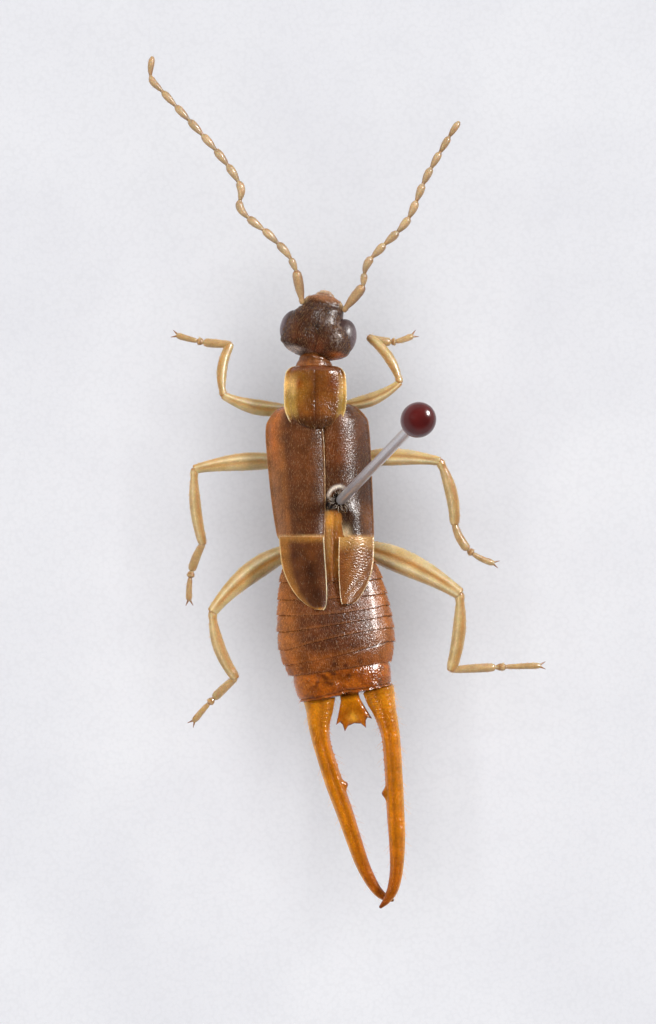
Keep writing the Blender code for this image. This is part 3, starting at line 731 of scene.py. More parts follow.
@dataclass(frozen=True)
class SteelFinish:
    """Drawn steel wire with faint lengthwise lines."""

    roughness: float = 0.28

    def material(self) -> bpy.types.Material:
        """Builds the steel's material."""
        graph = Graph("drawn steel")
        lines = graph.noise(0.03, 2.0, graph.stretch((1.0, 1.0, 0.03)))
        shade = graph.spread(lines, (0.3, 0.7), (0.0, 1.0))
        colour = graph.mix(shade, tone(184, 182, 186), tone(214, 212, 216))
        graph.link(colour, graph.shader.inputs["Base Color"])
        graph.link(graph.bump(lines, 0.004, 0.25), graph.shader.inputs["Normal"])
        graph.constants(Roughness=self.roughness, Metallic=0.55)
        return graph.material


@dataclass(frozen=True)
class BeadFinish:
    """The dark moulded plastic of the pin's head."""

    roughness: float = 0.22

    def material(self) -> bpy.types.Material:
        """Builds the bead's material."""
        graph = Graph("moulded bead")
        cloud = graph.noise(0.5, 3.0)
        colour = graph.mix(cloud, tone(58, 16, 16), tone(96, 30, 28))
        graph.link(colour, graph.shader.inputs["Base Color"])
        graph.link(graph.bump(graph.noise(0.12, 2.0), 0.01, 0.3), graph.shader.inputs["Normal"])
        graph.constants(Roughness=self.roughness, Coat_Weight=0.5, Coat_Roughness=0.08)
        return graph.material


@dataclass(frozen=True)
class FoamFinish:
    """Fine closed-cell foam, pale grey and matt."""

    cell: float = 0.16
    roughness: float = 0.85

    def material(self) -> bpy.types.Material:
        """Builds the foam's material."""
        graph = Graph("pale foam")
        cells = graph.cells(self.cell)
        cloud = graph.noise(6.0, 3.0)
        base = graph.mix(graph.spread(cloud, (0.3, 0.7), (0.0, 1.0)), tone(231, 231, 235),
                tone(238, 238, 241))
        colour = graph.mix(graph.spread(cells, (0.45, 0.8), (0.0, 0.10)), base, tone(200, 200, 204))
        graph.link(colour, graph.shader.inputs["Base Color"])
        graph.link(graph.bump(cells, self.cell * 0.2, 0.22), graph.shader.inputs["Normal"])
        graph.constants(Roughness=self.roughness, Specular_IOR_Level=0.2)
        return graph.material


@dataclass(frozen=True)
class HairFinish:
    """The finish of bristles and down, a pale translucent straw."""

    name: str = "pale bristle"
    gain: float = 1.7
    pale: Colour = tone(214, 172, 120)
    least: float = 0.0
    most: float = 0.35
    roughness: float = 0.45

    def material(self) -> bpy.types.Material:
        """Builds the hair's material, a brighter kin of the skin's own colour under it."""
        graph = Graph(self.name)
        tint = graph.node("ShaderNodeAttribute", attribute_name="Tint").outputs["Color"]
        lighter = graph.node("ShaderNodeVectorMath", operation="SCALE")
        lighter.inputs["Scale"].default_value = self.gain
        graph.link(tint, lighter.inputs[0])
        share = graph.spread(graph.noise(0.09, 1.0), (0.35, 0.65), (self.least, self.most))
        colour = graph.mix(share, lighter.outputs[0], self.pale)
        graph.link(colour, graph.shader.inputs["Base Color"])
        graph.constants(Roughness=self.roughness, Specular_IOR_Level=0.12)
        return graph.material


def show(mesh: bpy.types.Mesh, finish: bpy.types.Material, slot: Slot,
        *nodes: str) -> Piece:
    """Adds a finished mesh to the scene as one piece of the earwig.

    Args:
        mesh: The piece's mesh, already in place.
        finish: Its material.
        slot: Not used.
        nodes: The solids that it stands for.

    Returns:
        The piece.
    """
    piece = bpy.data.objects.new(mesh.name, mesh)
    bpy.context.scene.collection.objects.link(piece)
    if not mesh.materials:
        mesh.materials.append(finish)
    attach(piece, ROOT)
    if nodes:
        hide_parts(*nodes)
    LOG.info("%s: %d faces", piece.name, len(mesh.polygons))
    return piece


def joined(name: str, meshes: list[bpy.types.Mesh]) -> bpy.types.Mesh:
    """Puts several meshes into one.

    Args:
        name: The new mesh's name.
        meshes: The meshes, which are then removed.

    Returns:
        The mesh that holds them all.
    """
    helpers = []
    for mesh in meshes:
        helper = bpy.data.objects.new("helper", mesh)
        bpy.context.scene.collection.objects.link(helper)
        helpers.append(helper)
    with bpy.context.temp_override(
        active_object=helpers[0], selected_editable_objects=helpers, selected_objects=helpers
    ):
        bpy.ops.object.join()
    whole = helpers[0].data
    bpy.data.objects.remove(helpers[0])
    whole.name = name
    return whole


class TreeInput(NamedTuple):
    """One named input of a geometry tree, with its kind and its value."""

    name: str
    kind: str
    value: float | int


@dataclass(frozen=True)
class Down:
    """Fine hairs that grow on a skin and follow its lie.

    Attributes:
        length: The longest hairs, in millimetres.
        width: A hair's width at its root.
        density: How many hairs grow on a square millimetre where the growth is 1.
        lift: How far they stand off the skin, from 0 to 1.
        spread: How far they stray from the lie.
        seed: What their places are drawn from.
    """

    length: float = 0.14
    width: float = 0.016
    density: float = 110.0
    lift: float = 0.22
    spread: float = 0.22
    seed: int = 1

    def values(self) -> tuple[TreeInput, ...]:
        """Lists the tree's inputs, in metres."""
        return (
            TreeInput("Density", "NodeSocketFloat", self.density / MM ** 2),
            TreeInput("Length", "NodeSocketFloat", self.length * MM),
            TreeInput("Width", "NodeSocketFloat", self.width * MM),
            TreeInput("Lift", "NodeSocketFloat", self.lift),
            TreeInput("Spread", "NodeSocketFloat", self.spread),
            TreeInput("Seed", "NodeSocketInt", self.seed),
        )

    def tree(self, finish: bpy.types.Material) -> bpy.types.NodeTree:
        """Builds the tree that scatters the hairs.

        Args:
            finish: The hairs' material.

        Returns:
            The tree, which ends in one real mesh of all the hairs.
        """
        tree = bpy.data.node_groups.new("down", "GeometryNodeTree")
        face = tree.interface
        face.new_socket("Skin", in_out="INPUT", socket_type="NodeSocketGeometry")
        for entry in self.values():
            face.new_socket(entry.name, in_out="INPUT", socket_type=entry.kind)
        face.new_socket("Hairs", in_out="OUTPUT", socket_type="NodeSocketGeometry")
        add = tree.nodes.new
        link = tree.links.new
        source = add("NodeGroupInput").outputs
        result = add("NodeGroupOutput")

        def field(name: str, kind: str) -> Socket:
            """Gives the value of the field at each place."""
            made = add("GeometryNodeInputNamedAttribute")
            made.data_type = kind
            made.inputs["Name"].default_value = name
            return made.outputs["Attribute"]

        def combine(operation: str, a: object, b: object) -> Socket:
            """Joins two values into one socket."""
            made = add("ShaderNodeVectorMath")
            made.operation = operation
            link(a, made.inputs[0])
            link(b, made.inputs["Scale"] if operation == "SCALE" else made.inputs[1])
            return made.outputs["Vector"]

        def product(a: object, b: object) -> Socket:
            """Multiplies two sockets."""
            made = add("ShaderNodeMath")
            made.operation = "MULTIPLY"
            link(a, made.inputs[0])
            link(b, made.inputs[1])
            return made.outputs["Value"]

        def chance(kind: str, low: object, high: object) -> Socket:
            """Draws a random value for each hair."""
            made = add("FunctionNodeRandomValue")
            made.data_type = kind
            offset = 0 if kind == "FLOAT_VECTOR" else 2
            made.inputs[offset].default_value = low
            made.inputs[offset + 1].default_value = high
            link(source["Seed"], made.inputs["Seed"])
            return made.outputs[0 if kind == "FLOAT_VECTOR" else 1]

        scatter = add("GeometryNodeDistributePointsOnFaces")
        link(source["Skin"], scatter.inputs["Mesh"])
        link(product(source["Density"], field("Down", "FLOAT")), scatter.inputs["Density"])
        link(source["Seed"], scatter.inputs["Seed"])
        stray = combine("SCALE", chance("FLOAT_VECTOR", (-1, -1, -1), (1, 1, 1)), source["Spread"])
        raised = combine("SCALE", scatter.outputs["Normal"], source["Lift"])
        way = combine("ADD", combine("ADD", field("Lie", "FLOAT_VECTOR"), raised), stray)
        point = add("FunctionNodeAlignRotationToVector")
        point.axis = "Z"
        link(way, point.inputs["Vector"])
        roll = add("FunctionNodeAlignRotationToVector")
        roll.axis = "Y"
        roll.pivot_axis = "Z"
        link(point.outputs["Rotation"], roll.inputs["Rotation"])
        link(scatter.outputs["Normal"], roll.inputs["Vector"])
        size = add("ShaderNodeCombineXYZ")
        link(source["Width"], size.inputs["X"])
        link(source["Width"], size.inputs["Y"])
        link(product(source["Length"], chance("FLOAT", 0.55, 1.0)), size.inputs["Z"])
        hair = add("GeometryNodeMeshCone")
        for name, value in (
            ("Vertices", 3), ("Side Segments", 3), ("Radius Top", 0.04), ("Radius Bottom", 0.5),
            ("Depth", 1.0),
        ):
            hair.inputs[name].default_value = value
        spots = add("GeometryNodeInstanceOnPoints")
        link(scatter.outputs["Points"], spots.inputs["Points"])
        link(roll.outputs["Rotation"], spots.inputs["Rotation"])
        link(size.outputs["Vector"], spots.inputs["Scale"])
        patch = add("GeometryNodeStoreNamedAttribute")
        patch.data_type = "FLOAT2"
        patch.domain = "CORNER"
        patch.inputs["Name"].default_value = "Patch"
        link(hair.outputs["Mesh"], patch.inputs["Geometry"])
        link(hair.outputs["UV Map"], patch.inputs["Value"])
        link(patch.outputs["Geometry"], spots.inputs["Instance"])
        real = add("GeometryNodeRealizeInstances")
        link(spots.outputs["Instances"], real.inputs["Geometry"])
        small = add("ShaderNodeVectorMath")
        small.operation = "SCALE"
        small.inputs["Scale"].default_value = 0.003
        link(field("Patch", "FLOAT_VECTOR"), small.inputs[0])
        spot = combine("ADD", field("Skin", "FLOAT_VECTOR"), small.outputs["Vector"])
        bake = add("GeometryNodeStoreNamedAttribute")
        bake.data_type = "FLOAT2"
        bake.domain = "CORNER"
        bake.inputs["Name"].default_value = "OFBake"
        link(real.outputs["Geometry"], bake.inputs["Geometry"])
        link(spot, bake.inputs["Value"])
        dress = add("GeometryNodeSetMaterial")
        dress.inputs["Material"].default_value = finish
        link(bake.outputs["Geometry"], dress.inputs["Geometry"])
        link(dress.outputs["Geometry"], result.inputs["Hairs"])
        return tree

    def grow(self, skin: Piece, finish: bpy.types.Material,
            slot: Slot) -> Piece:
        """Grows the hairs on a skin as a piece of their own.

        Args:
            skin: The piece that carries them.
            finish: The hairs' material.
            slot: The record's slot that they belong to.

        Returns:
            The hairs.
        """
        field_mesh = skin.data.copy()
        helper = bpy.data.objects.new("helper", field_mesh)
        bpy.context.scene.collection.objects.link(helper)
        modifier = helper.modifiers.new("down", "NODES")
        modifier.node_group = self.tree(finish)
        sockets = {
            item.name: item.identifier
            for item in modifier.node_group.interface.items_tree
            if item.in_out == "INPUT"
        }
        for entry in self.values():
            modifier[sockets[entry.name]] = entry.value
        bpy.context.view_layer.update()
        graph = bpy.context.evaluated_depsgraph_get()
        mesh = bpy.data.meshes.new_from_object(helper.evaluated_get(graph))
        mesh.name = f"{skin.name}_down"
        bpy.data.objects.remove(helper)
        bpy.data.meshes.remove(field_mesh)
        return show(mesh, finish, slot)


def ball_rows(centre: Point, half_sizes: Point, turn: float, stations: int = 24) -> tuple[Row, ...]:
    """Makes the stations of an ellipsoid turned about the upright.

    Args:
        centre: The ellipsoid's middle.
        half_sizes: Its half sizes to the right, forwards and up.
        turn: How far it is turned, in degrees.
        stations: How many stations it has.

    Returns:
        The rows of a loft, from its rear to its front.
    """
    angle = math.radians(turn)
    a, b, c = half_sizes
    rows = []
    for share in np.linspace(-0.992, 0.992, stations):
        step = math.sin(share * math.pi / 2) * b
        full = math.cos(share * math.pi / 2)
        rows.append((
            centre[0] - step * math.sin(angle), centre[1] + step * math.cos(angle), centre[2],
            a * full, c * full, c * full,
        ))
    return tuple(rows)


@dataclass
class Head:
    """The skull with its eyes, lip, jaws, palps and neck, measured in its own turned frame.

    Attributes:
        middle: Where the head's middle is.
        turn: How far it is turned clockwise, in degrees.
        profile: The skull's stations: how far forwards and right, half its width and its depth.
        eye_place: The right eye's middle.
        eye_halves: An eye's half sizes.
        gloss_side: The side of the more swollen, glossier lobe, in the loft's own sense.
        left_eye_sink: How much lower the left eye lies, since the head is a little tilted.
        lip_half: Half the lip's width.
        lip_front: How far forwards the lip reaches.
    """

    middle: tuple[float, float] = (-0.40, 7.12)
    turn: float = 10.5
    profile: tuple[Row, ...] = (
        (-0.92, 0.0, 0.80, 0.36), (-0.86, 0.0, 1.00, 0.50), (-0.73, 0.0, 1.22, 0.66),
        (-0.51, 0.0, 1.40, 0.76), (-0.25, -0.02, 1.44, 0.79), (0.00, -0.06, 1.38, 0.78),
        (0.22, -0.08, 1.29, 0.75), (0.45, -0.08, 1.15, 0.70), (0.68, -0.04, 0.98, 0.64),
        (0.90, 0.0, 0.87, 0.57), (1.10, 0.0, 0.84, 0.50), (1.28, 0.0, 0.79, 0.42),
        (1.42, 0.0, 0.68, 0.35), (1.50, 0.0, 0.50, 0.26),
    )
    eye_place: Point = (1.01, 0.05, 0.00)
    eye_halves: Point = (0.54, 0.74, 0.46)
    gloss_side: float = 1.0
    left_eye_sink: float = 0.13
    lip_half: float = 0.42
    lip_front: float = 1.77

    def point(self, u: float, v: float, z: float) -> Point:
        """Turns a point of the head's frame, u right and v forwards, into one of the body's."""
        turn = math.radians(self.turn)
        x = self.middle[0] + u * math.cos(turn) + v * math.sin(turn)
        y = self.middle[1] - u * math.sin(turn) + v * math.cos(turn)
        return (x, y, z)

    def placed(self, rows: Iterable[Row]) -> tuple[Row, ...]:
        """Moves rows from the head's frame to the body's."""
        return tuple((*self.point(*row[:3]), *row[3:]) for row in rows)

    def own(self, place: Place) -> tuple[Array, Array]:
        """Gives the points' u and v in the head's own frame."""
        turn = math.radians(self.turn)
        x = place.x - self.middle[0]
        y = place.y - self.middle[1]
        return x * math.cos(turn) - y * math.sin(turn), x * math.sin(turn) + y * math.cos(turn)

    def skull_paint(self, place: Place) -> Array:
        """Colours the skull: dark, with a paler mouth shield, warm temples and a painted pale
        highlight on the right lobe.

        Args:
            place: The skull's points.

        Returns:
            Their colours.
        """
        u, v = self.own(place)
        colour = blend(tone(70, 39, 24), tone(46, 24, 16), 0.5 + 0.5 * ripple(u, v, 0.35, 1.0))
        colour = over(colour, 100, 50, 26, 0.7 * bump_at(u, 0.05, 0.34) * ramp(v, 0.1, -0.6))
        colour = over(colour, 104, 58, 30, 0.5 * bump_at(u, -0.95, 0.34) * bump_at(v, -0.1, 0.4))
        # Painted highlight: a pale, broken sheen laid into the colour of the right lobe.
        painted_sheen = bump_at(u, 0.78, 0.26) * bump_at(v, -0.08, 0.34) * ramp(ripple(u, v, 0.09, 2.0),
                -0.1, 0.5)
        colour = over(colour, 176, 160, 150, 0.55 * painted_sheen)
        colour = over(colour, 158, 80, 26, bump_at(u, 0.98, 0.34) * ramp(v, -0.52, -0.74))
        colour = over(colour, 186, 168, 160, 0.9 * bump_at(u, -0.86, 0.36) * ramp(v, -0.60, -0.76))
        colour = over(colour, 196, 156, 134, 0.8 * bump_at(u, -0.12, 0.14) * ramp(v, -0.70, -0.80))
        groove = bump_at(u, 0.0, 0.03) * ramp(v, 0.2, 0.0)
        branch = bump_at(np.abs(u) - (v - 0.1) * 0.9, 0.0, 0.035) * ramp(v, 0.1, 0.2) * ramp(v,
                0.75, 0.6)
        colour = over(colour, 30, 14, 10, 0.5 * np.maximum(groove, branch))
        colour = over(colour, 142, 92, 56, 0.85 * ramp(v, 1.20, 1.46))
        colour = over(colour, 214, 184, 138,
                0.8 * bump_at(np.abs(u), 0.76, 0.10) * bump_at(v, 1.34, 0.14))
        scar = np.hypot(u - 0.86, v - 0.50)
        colour = over(colour, 150, 130, 120, 0.5 * bump_at(scar, 0.12, 0.03))
        colour = over(colour, 22, 12, 10, 0.9 * ramp(scar, 0.09, 0.04))
        return blend(colour, RED_BROWN, 0.6 * ramp(place.z, -0.1, -0.5))

    def skull(self) -> Skin:
        """Shapes the skull with broad lobes over the eyes, a hollow between them and a mouth shield.

        Returns:
            The skull's skin.
        """
        rows = self.placed((u, v, 0.0, half, deep, deep) for v, u, half, deep in self.profile)

        def relief(across: Array, along: Array) -> Array:
            """Gives how far the skin stands out at each place."""
            lateral = np.cos(across * 2 * math.pi)
            upper = ramp(np.sin(across * 2 * math.pi), 0.0, 0.6)
            seam = -0.02 * bump_at(lateral, 0.0, 0.05) * ramp(along, 0.45, 0.30)
            seam = seam - 0.06 * bump_at(lateral, 0.0, 0.26) * bump_at(along, 0.30, 0.20)
            lobes = 0.07 * bump_at(np.abs(lateral), 0.62, 0.24) * bump_at(along, 0.34, 0.24)
            lobes = lobes + 0.05 * bump_at(lateral, self.gloss_side * 0.55, 0.2) * bump_at(along,
                    0.36, 0.16)
            notch = -0.14 * bump_at(lateral, 0.0, 0.35) * ramp(along, 0.16, 0.04)
            brow = 0.03 * bump_at(np.abs(lateral), 0.38, 0.2) * bump_at(along, 0.66, 0.08)
            shield = -0.04 * bump_at(along, 0.80, 0.03)
            return (seam + lobes + brow + shield) * upper + notch

        return Loft(rows, rings=130, sides=140, power=2.2, dome=0.25, relief=relief).skin()

    def eye(self, side: Side) -> bpy.types.Mesh:
        """Makes one eye, of which a grey-violet crescent shows beyond the skull's lobe."""
        u, v, z = self.eye_place
        centre = self.point(side.value * u, v,
                z - (self.left_eye_sink if side is Side.LEFT else 0.0))
        rows = ball_rows(centre, self.eye_halves, -self.turn)

        def paint(place: Place) -> Array:
            """Gives the colour at each place."""
            own_u, own_v = self.own(place)
            out = side.value * (own_u - side.value * u) / self.eye_halves[0]
            colour = blend(tone(74, 52, 50), tone(124, 106, 110), ramp(out, 0.45, 0.85))
            colour = over(colour, 178, 170, 178, 0.6 * ramp(out, 0.86, 1.0))
            return over(colour, 120, 80, 62, 0.6 * ramp(own_v, -0.1, -0.5))

        loft = Loft(rows, rings=64, sides=72, dome=0.02)
        return loft.skin().mesh(f"earwig_eye_{side.label}", paint)

    def lip(self) -> bpy.types.Mesh:
        """Makes the pale lip in front of the skull, rounded like a tongue."""
        rows = self.placed(
            (0.0, self.lip_front - back, -0.12 + 0.1 * back, self.lip_half * wide, tall, tall)
            for back, wide, tall in (
                (0.60, 1.04, 0.26), (0.44, 1.06, 0.25), (0.28, 1.02, 0.23), (0.16, 0.86, 0.20),
                (0.07, 0.58, 0.14),
            )
        )

        def relief(across: Array, along: Array) -> Array:
            """Gives how far the skin stands out at each place."""
            upper = ramp(np.sin(across * 2 * math.pi), 0.1, 0.7)
            return upper * (0.02 * bump_at(along, 0.50, 0.08) - 0.02 * bump_at(along, 0.66, 0.05))

        def paint(place: Place) -> Array:
            """Gives the colour at each place."""
            u, v = self.own(place)
            edge = ramp(np.abs(u), 0.20, 0.42) + ramp(v, 1.62, 1.75)
            return blend(tone(132, 98, 74), tone(186, 162, 134), 0.8 * edge)

        loft = Loft(rows, rings=40, sides=48, power=2.3, dome=0.6, relief=relief)
        return loft.skin().mesh("earwig_lip", paint, lambda place: ramp(place.z, -0.1, 0.05))

    def jaw(self, side: Side) -> bpy.types.Mesh:
        """Makes one jaw, amber with a dark cutting tip."""
        s = side.value
        rows = self.placed((
            (s * 0.42, 0.80, -0.56, 0.22, 0.22, 0.22), (s * 0.40, 1.08, -0.60, 0.22, 0.21, 0.21),
            (s * 0.34, 1.30, -0.61, 0.18, 0.18, 0.18), (s * 0.24, 1.46, -0.60, 0.12, 0.14, 0.14),
            (s * 0.14, 1.55, -0.60, 0.06, 0.08, 0.08),
        ))

        def relief(across: Array, along: Array) -> Array:
            """Gives how far the skin stands out at each place."""
            return -0.015 * (0.5 + 0.5 * np.cos(along * 34)) * ramp(along, 0.55, 0.8)

        def paint(place: Place) -> Array:
            """Gives the colour at each place."""
            return blend(AMBER, BLACK_BROWN, ramp(place.along, 0.55, 1.0))

        loft = Loft(rows, rings=36, sides=28, relief=relief)
        return loft.skin().mesh(f"earwig_jaw_{side.label}", paint)

    def palp(self, side: Side) -> bpy.types.Mesh:
        """Makes one palp of five joints."""
        s = side.value
        rows = []
        path = (
            (s * 0.46, 0.50, -0.98), (s * 0.62, 0.70, -1.18), (s * 0.66, 0.96, -1.20),
            (s * 0.56, 1.20, -1.14), (s * 0.42, 1.38, -1.10),
        )
        widths = (0.15, 0.16, 0.14, 0.15, 0.10)
        fine = through(path, np.linspace(0, 1, 41))
        for i, spot in enumerate(fine):
            share = i / 40
            waist = 1 - 0.34 * abs(math.cos(share * 4 * math.pi)) ** 6
            half = float(np.interp(share, np.linspace(0, 1, 5), widths)) * waist
            rows.append((*spot, half, half, half))

        def paint(place: Place) -> Array:
            """Gives the colour at each place."""
            joint = np.abs(np.cos(place.along * 4 * math.pi)) ** 6
            return blend(STRAW, tone(150, 96, 44), 0.6 * joint)

        loft = Loft(self.placed(rows), rings=60, sides=22)
        return loft.skin().mesh(f"earwig_palp_{side.label}", paint)

    def neck(self) -> bpy.types.Mesh:
        """Makes the neck's stack of small plates."""
        rows = (
            (-0.46, 6.70, 0.02, 0.34, 0.34, 0.40), (-0.50, 6.36, 0.04, 0.44, 0.42, 0.46),
            (-0.54, 6.06, 0.06, 0.66, 0.50, 0.50), (-0.55, 5.60, 0.06, 0.80, 0.50, 0.50),
        )

        def relief(across: Array, along: Array) -> Array:
            """Gives how far the skin stands out at each place."""
            folds = bump_at(along + 0.04 * np.sin(across * 2 * math.pi * 3), 0.38, 0.07)
            folds = folds + 0.7 * bump_at(along, 0.66, 0.05)
            return -0.05 * folds + 0.010 * np.sin(across * 2 * math.pi * 7 + along * 9)

        def paint(place: Place) -> Array:
            """Gives the colour at each place."""
            shade = 0.5 + 0.5 * ripple(place.x, place.y, 0.3, 3.0)
            colour = blend(tone(140, 84, 40), tone(98, 52, 22), shade)
            return over(colour, 186, 122, 70, 0.8 * bump_at(place.along, 0.24, 0.10))

        loft = Loft(rows, rings=72, sides=64, dome=0.2, relief=relief)
        return loft.skin().mesh("earwig_neck", paint, lambda place: ramp(place.z, 0.1, 0.3))

    def build(self) -> dict[str, Piece]:
        """Makes the head's pieces.

        Returns:
            The pieces that carry down, by name.
        """
        shell = Cuticle(
            "head cuticle", roughness=0.25, coat=0.15, scatter=0.10, pit=0.055, pit_depth=0.6,
            grain=0.035, grain_depth=0.4, down=0.05, mottle=0.40,
        ).material()
        soft = Cuticle("mouth cuticle", roughness=0.36, coat=0.4, scatter=0.4,
                mottle=0.2).material()
        eyes = EyeFinish().material()

        def growth(place: Place) -> Array:
            """Gives how thickly the hairs grow at each place."""
            return ramp(place.z, 0.05, 0.3)

        skull = show(
            self.skull().mesh("earwig_skull", self.skull_paint, growth), shell, Slot.HEAD, "head"
        )
        for side in Side:
            show(self.eye(side), eyes, Slot.EYE, f"eye_{side.label}")
            show(self.jaw(side), soft, Slot.MOUTH, f"jaw_{side.label}")
            show(self.palp(side), soft, Slot.MOUTH, f"palp_{side.label}")
        lip = show(self.lip(), soft, Slot.MOUTH, "labrum")
        neck = show(self.neck(), shell, Slot.HEAD, "neck")
        return {"skull": skull, "lip": lip, "neck": neck}


class FeelerPlan(NamedTuple):
    """One feeler's side, its turning points from elbow to tip, and its bead count."""

    side: Side
    elbow: Point
    bends: tuple[Point, ...]
    beads: int


@dataclass
class Feelers:
    """The two beaded feelers.

    Attributes:
        head: The head that they stand on.
        socket: The right socket, in the head's frame.
        scape_width: The long first joint's width.
        bead_width: A bead's width near the head.
        tip_width: The last bead's width.
    """

    head: Head
    socket: Point = (0.84, 1.10, 0.12)
    scape_width: float = 0.40
    bead_width: float = 0.33
    tip_width: float = 0.25
    plans: tuple[FeelerPlan, ...] = (
        FeelerPlan(Side.LEFT, (-1.26, 9.60, 0.50), (
            (-1.60, 10.26, 0.62), (-2.34, 11.04, 0.72), (-3.46, 12.04, 0.80),
            (-3.50, 13.00, 0.84), (-4.50, 14.44, 0.84), (-6.46, 16.60, 0.76),
            (-7.04, 17.28, 0.72), (-7.00, 18.14, 0.70),
        ), 14),
        FeelerPlan(Side.RIGHT, (1.40, 9.00, 0.50), (
            (1.54, 9.84, 0.62), (2.10, 10.50, 0.70), (3.16, 11.62, 0.80),
            (3.90, 13.30, 0.84), (4.78, 14.86, 0.80), (5.22, 15.54, 0.76),
        ), 11),
    )

    def scape(self, plan: FeelerPlan) -> bpy.types.Mesh:
        """Makes the long first joint, narrow at its foot.

        Args:
            plan: The feeler.

        Returns:
            The joint's mesh.
        """
        u, v, z = self.socket
        start = np.array(self.head.point(plan.side.value * u, v, z))
        end = np.array(plan.elbow)
        half = self.scape_width / 2
        profile = (
            (0.00, 0.54), (0.08, 0.60), (0.16, 0.56), (0.30, 0.76), (0.50, 0.94), (0.70, 1.0),
            (0.88, 0.94), (0.97, 0.74), (1.00, 0.55),
        )
        rows = tuple(
            (*(start + (end - start) * share), half * full, half * full, half * full)
            for share, full in profile
        )

        def paint(place: Place) -> Array:
            """Gives the colour at each place."""
            # Painted light: the upper half is paler than the sides and the underside.
            light = ramp(place.across, 0.05, 0.25) * ramp(place.across, 0.6, 0.3)
            colour = blend(tone(132, 92, 56), tone(184, 150, 108), light)
            return over(colour, 128, 74, 34, 0.7 * bump_at(place.along, 1.0, 0.12))

        loft = Loft(rows, rings=60, sides=26, dome=0.4)
        return loft.skin().mesh(f"earwig_scape_{plan.side.label}", paint, even(0.5))

    def beads(self, plan: FeelerPlan) -> bpy.types.Mesh:
        """Makes the string of pear-shaped beads, each narrow at its foot.

        Args:
            plan: The feeler.

        Returns:
            The string's mesh.
        """
        fine = through([plan.elbow, *plan.bends], np.linspace(0, 1, 500))
        runs = np.concatenate([[0.0], np.cumsum(np.linalg.norm(np.diff(fine, axis=0), axis=1))])
        runs /= runs[-1]
        profile = (
            (0.02, 0.46), (0.10, 0.52), (0.22, 0.70), (0.40, 0.88), (0.60, 1.00), (0.78, 0.98),
            (0.90, 0.80), (0.98, 0.52),
        )
        first_short = 0.75
        edges = np.arange(plan.beads + 1, dtype=float)
        edges[1:] -= (1 - first_short) * np.linspace(1.0, 0.0, plan.beads)
        edges /= edges[-1]
        rows = []
        for bead in range(plan.beads):
            for spot, full in profile:
                share = edges[bead] + (edges[bead + 1] - edges[bead]) * spot
                wide = self.bead_width + (self.tip_width - self.bead_width) * share ** 4
                slim = 0.86 if bead == 0 else 1.0
                half = 0.5 * wide * full * slim
                centre = [float(np.interp(share, runs, fine[:, axis])) for axis in range(3)]
                rows.append((*centre, half, half, half))

        def paint(place: Place) -> Array:
            """Gives the colour at each place."""
            bead_place = np.interp(place.along, np.linspace(0, 1, len(rows)), [
                i % len(profile) / (len(profile) - 1) for i in range(len(rows))
            ])
            top = ramp(place.z, 0.4, 0.9)
            colour = blend(tone(146, 112, 74), tone(176, 144, 104), bump_at(bead_place, 0.6, 0.25))
            # Painted highlight: a pale stripe along the top of the beads.
            colour = over(colour, 206, 184, 146, 0.5 * bump_at(place.across, 0.3, 0.09))
            colour = over(colour, 120, 76, 40, 0.75 * ramp(bead_place, 0.14, 0.0))
            return over(colour, 160, 120, 76, 0.4 * ramp(place.along, 0.7, 1.0) * top)

        loft = Loft(tuple(rows), rings=len(rows) * 4, sides=20, dome=0.5)
        return loft.skin().mesh(f"earwig_beads_{plan.side.label}", paint, even(0.5))

    def build(self) -> dict[str, Piece]:
        """Makes both feelers.

        Returns:
            The pieces that carry down, by name.
        """
        finish = Cuticle(
            "feeler cuticle", roughness=0.40, coat=0.25, scatter=0.45, scatter_reach=0.10, pit=0.05,
            pit_depth=0.3, grain=0.03, grain_depth=0.4, down=0.35, mottle=0.22, stretch=(1, 0.5, 1),
        ).material()
        made = {}
        for plan in self.plans:
            label = plan.side.label
            scape = show(self.scape(plan), finish, Slot.FEELER, f"feeler_{label}_scape")
            beads = show(
                self.beads(plan), finish, Slot.FEELER,
                f"feeler_{label}_beads_1", f"feeler_{label}_beads_2",
            )
            made[f"scape_{label}"] = scape
            made[f"beads_{label}"] = beads
        return made


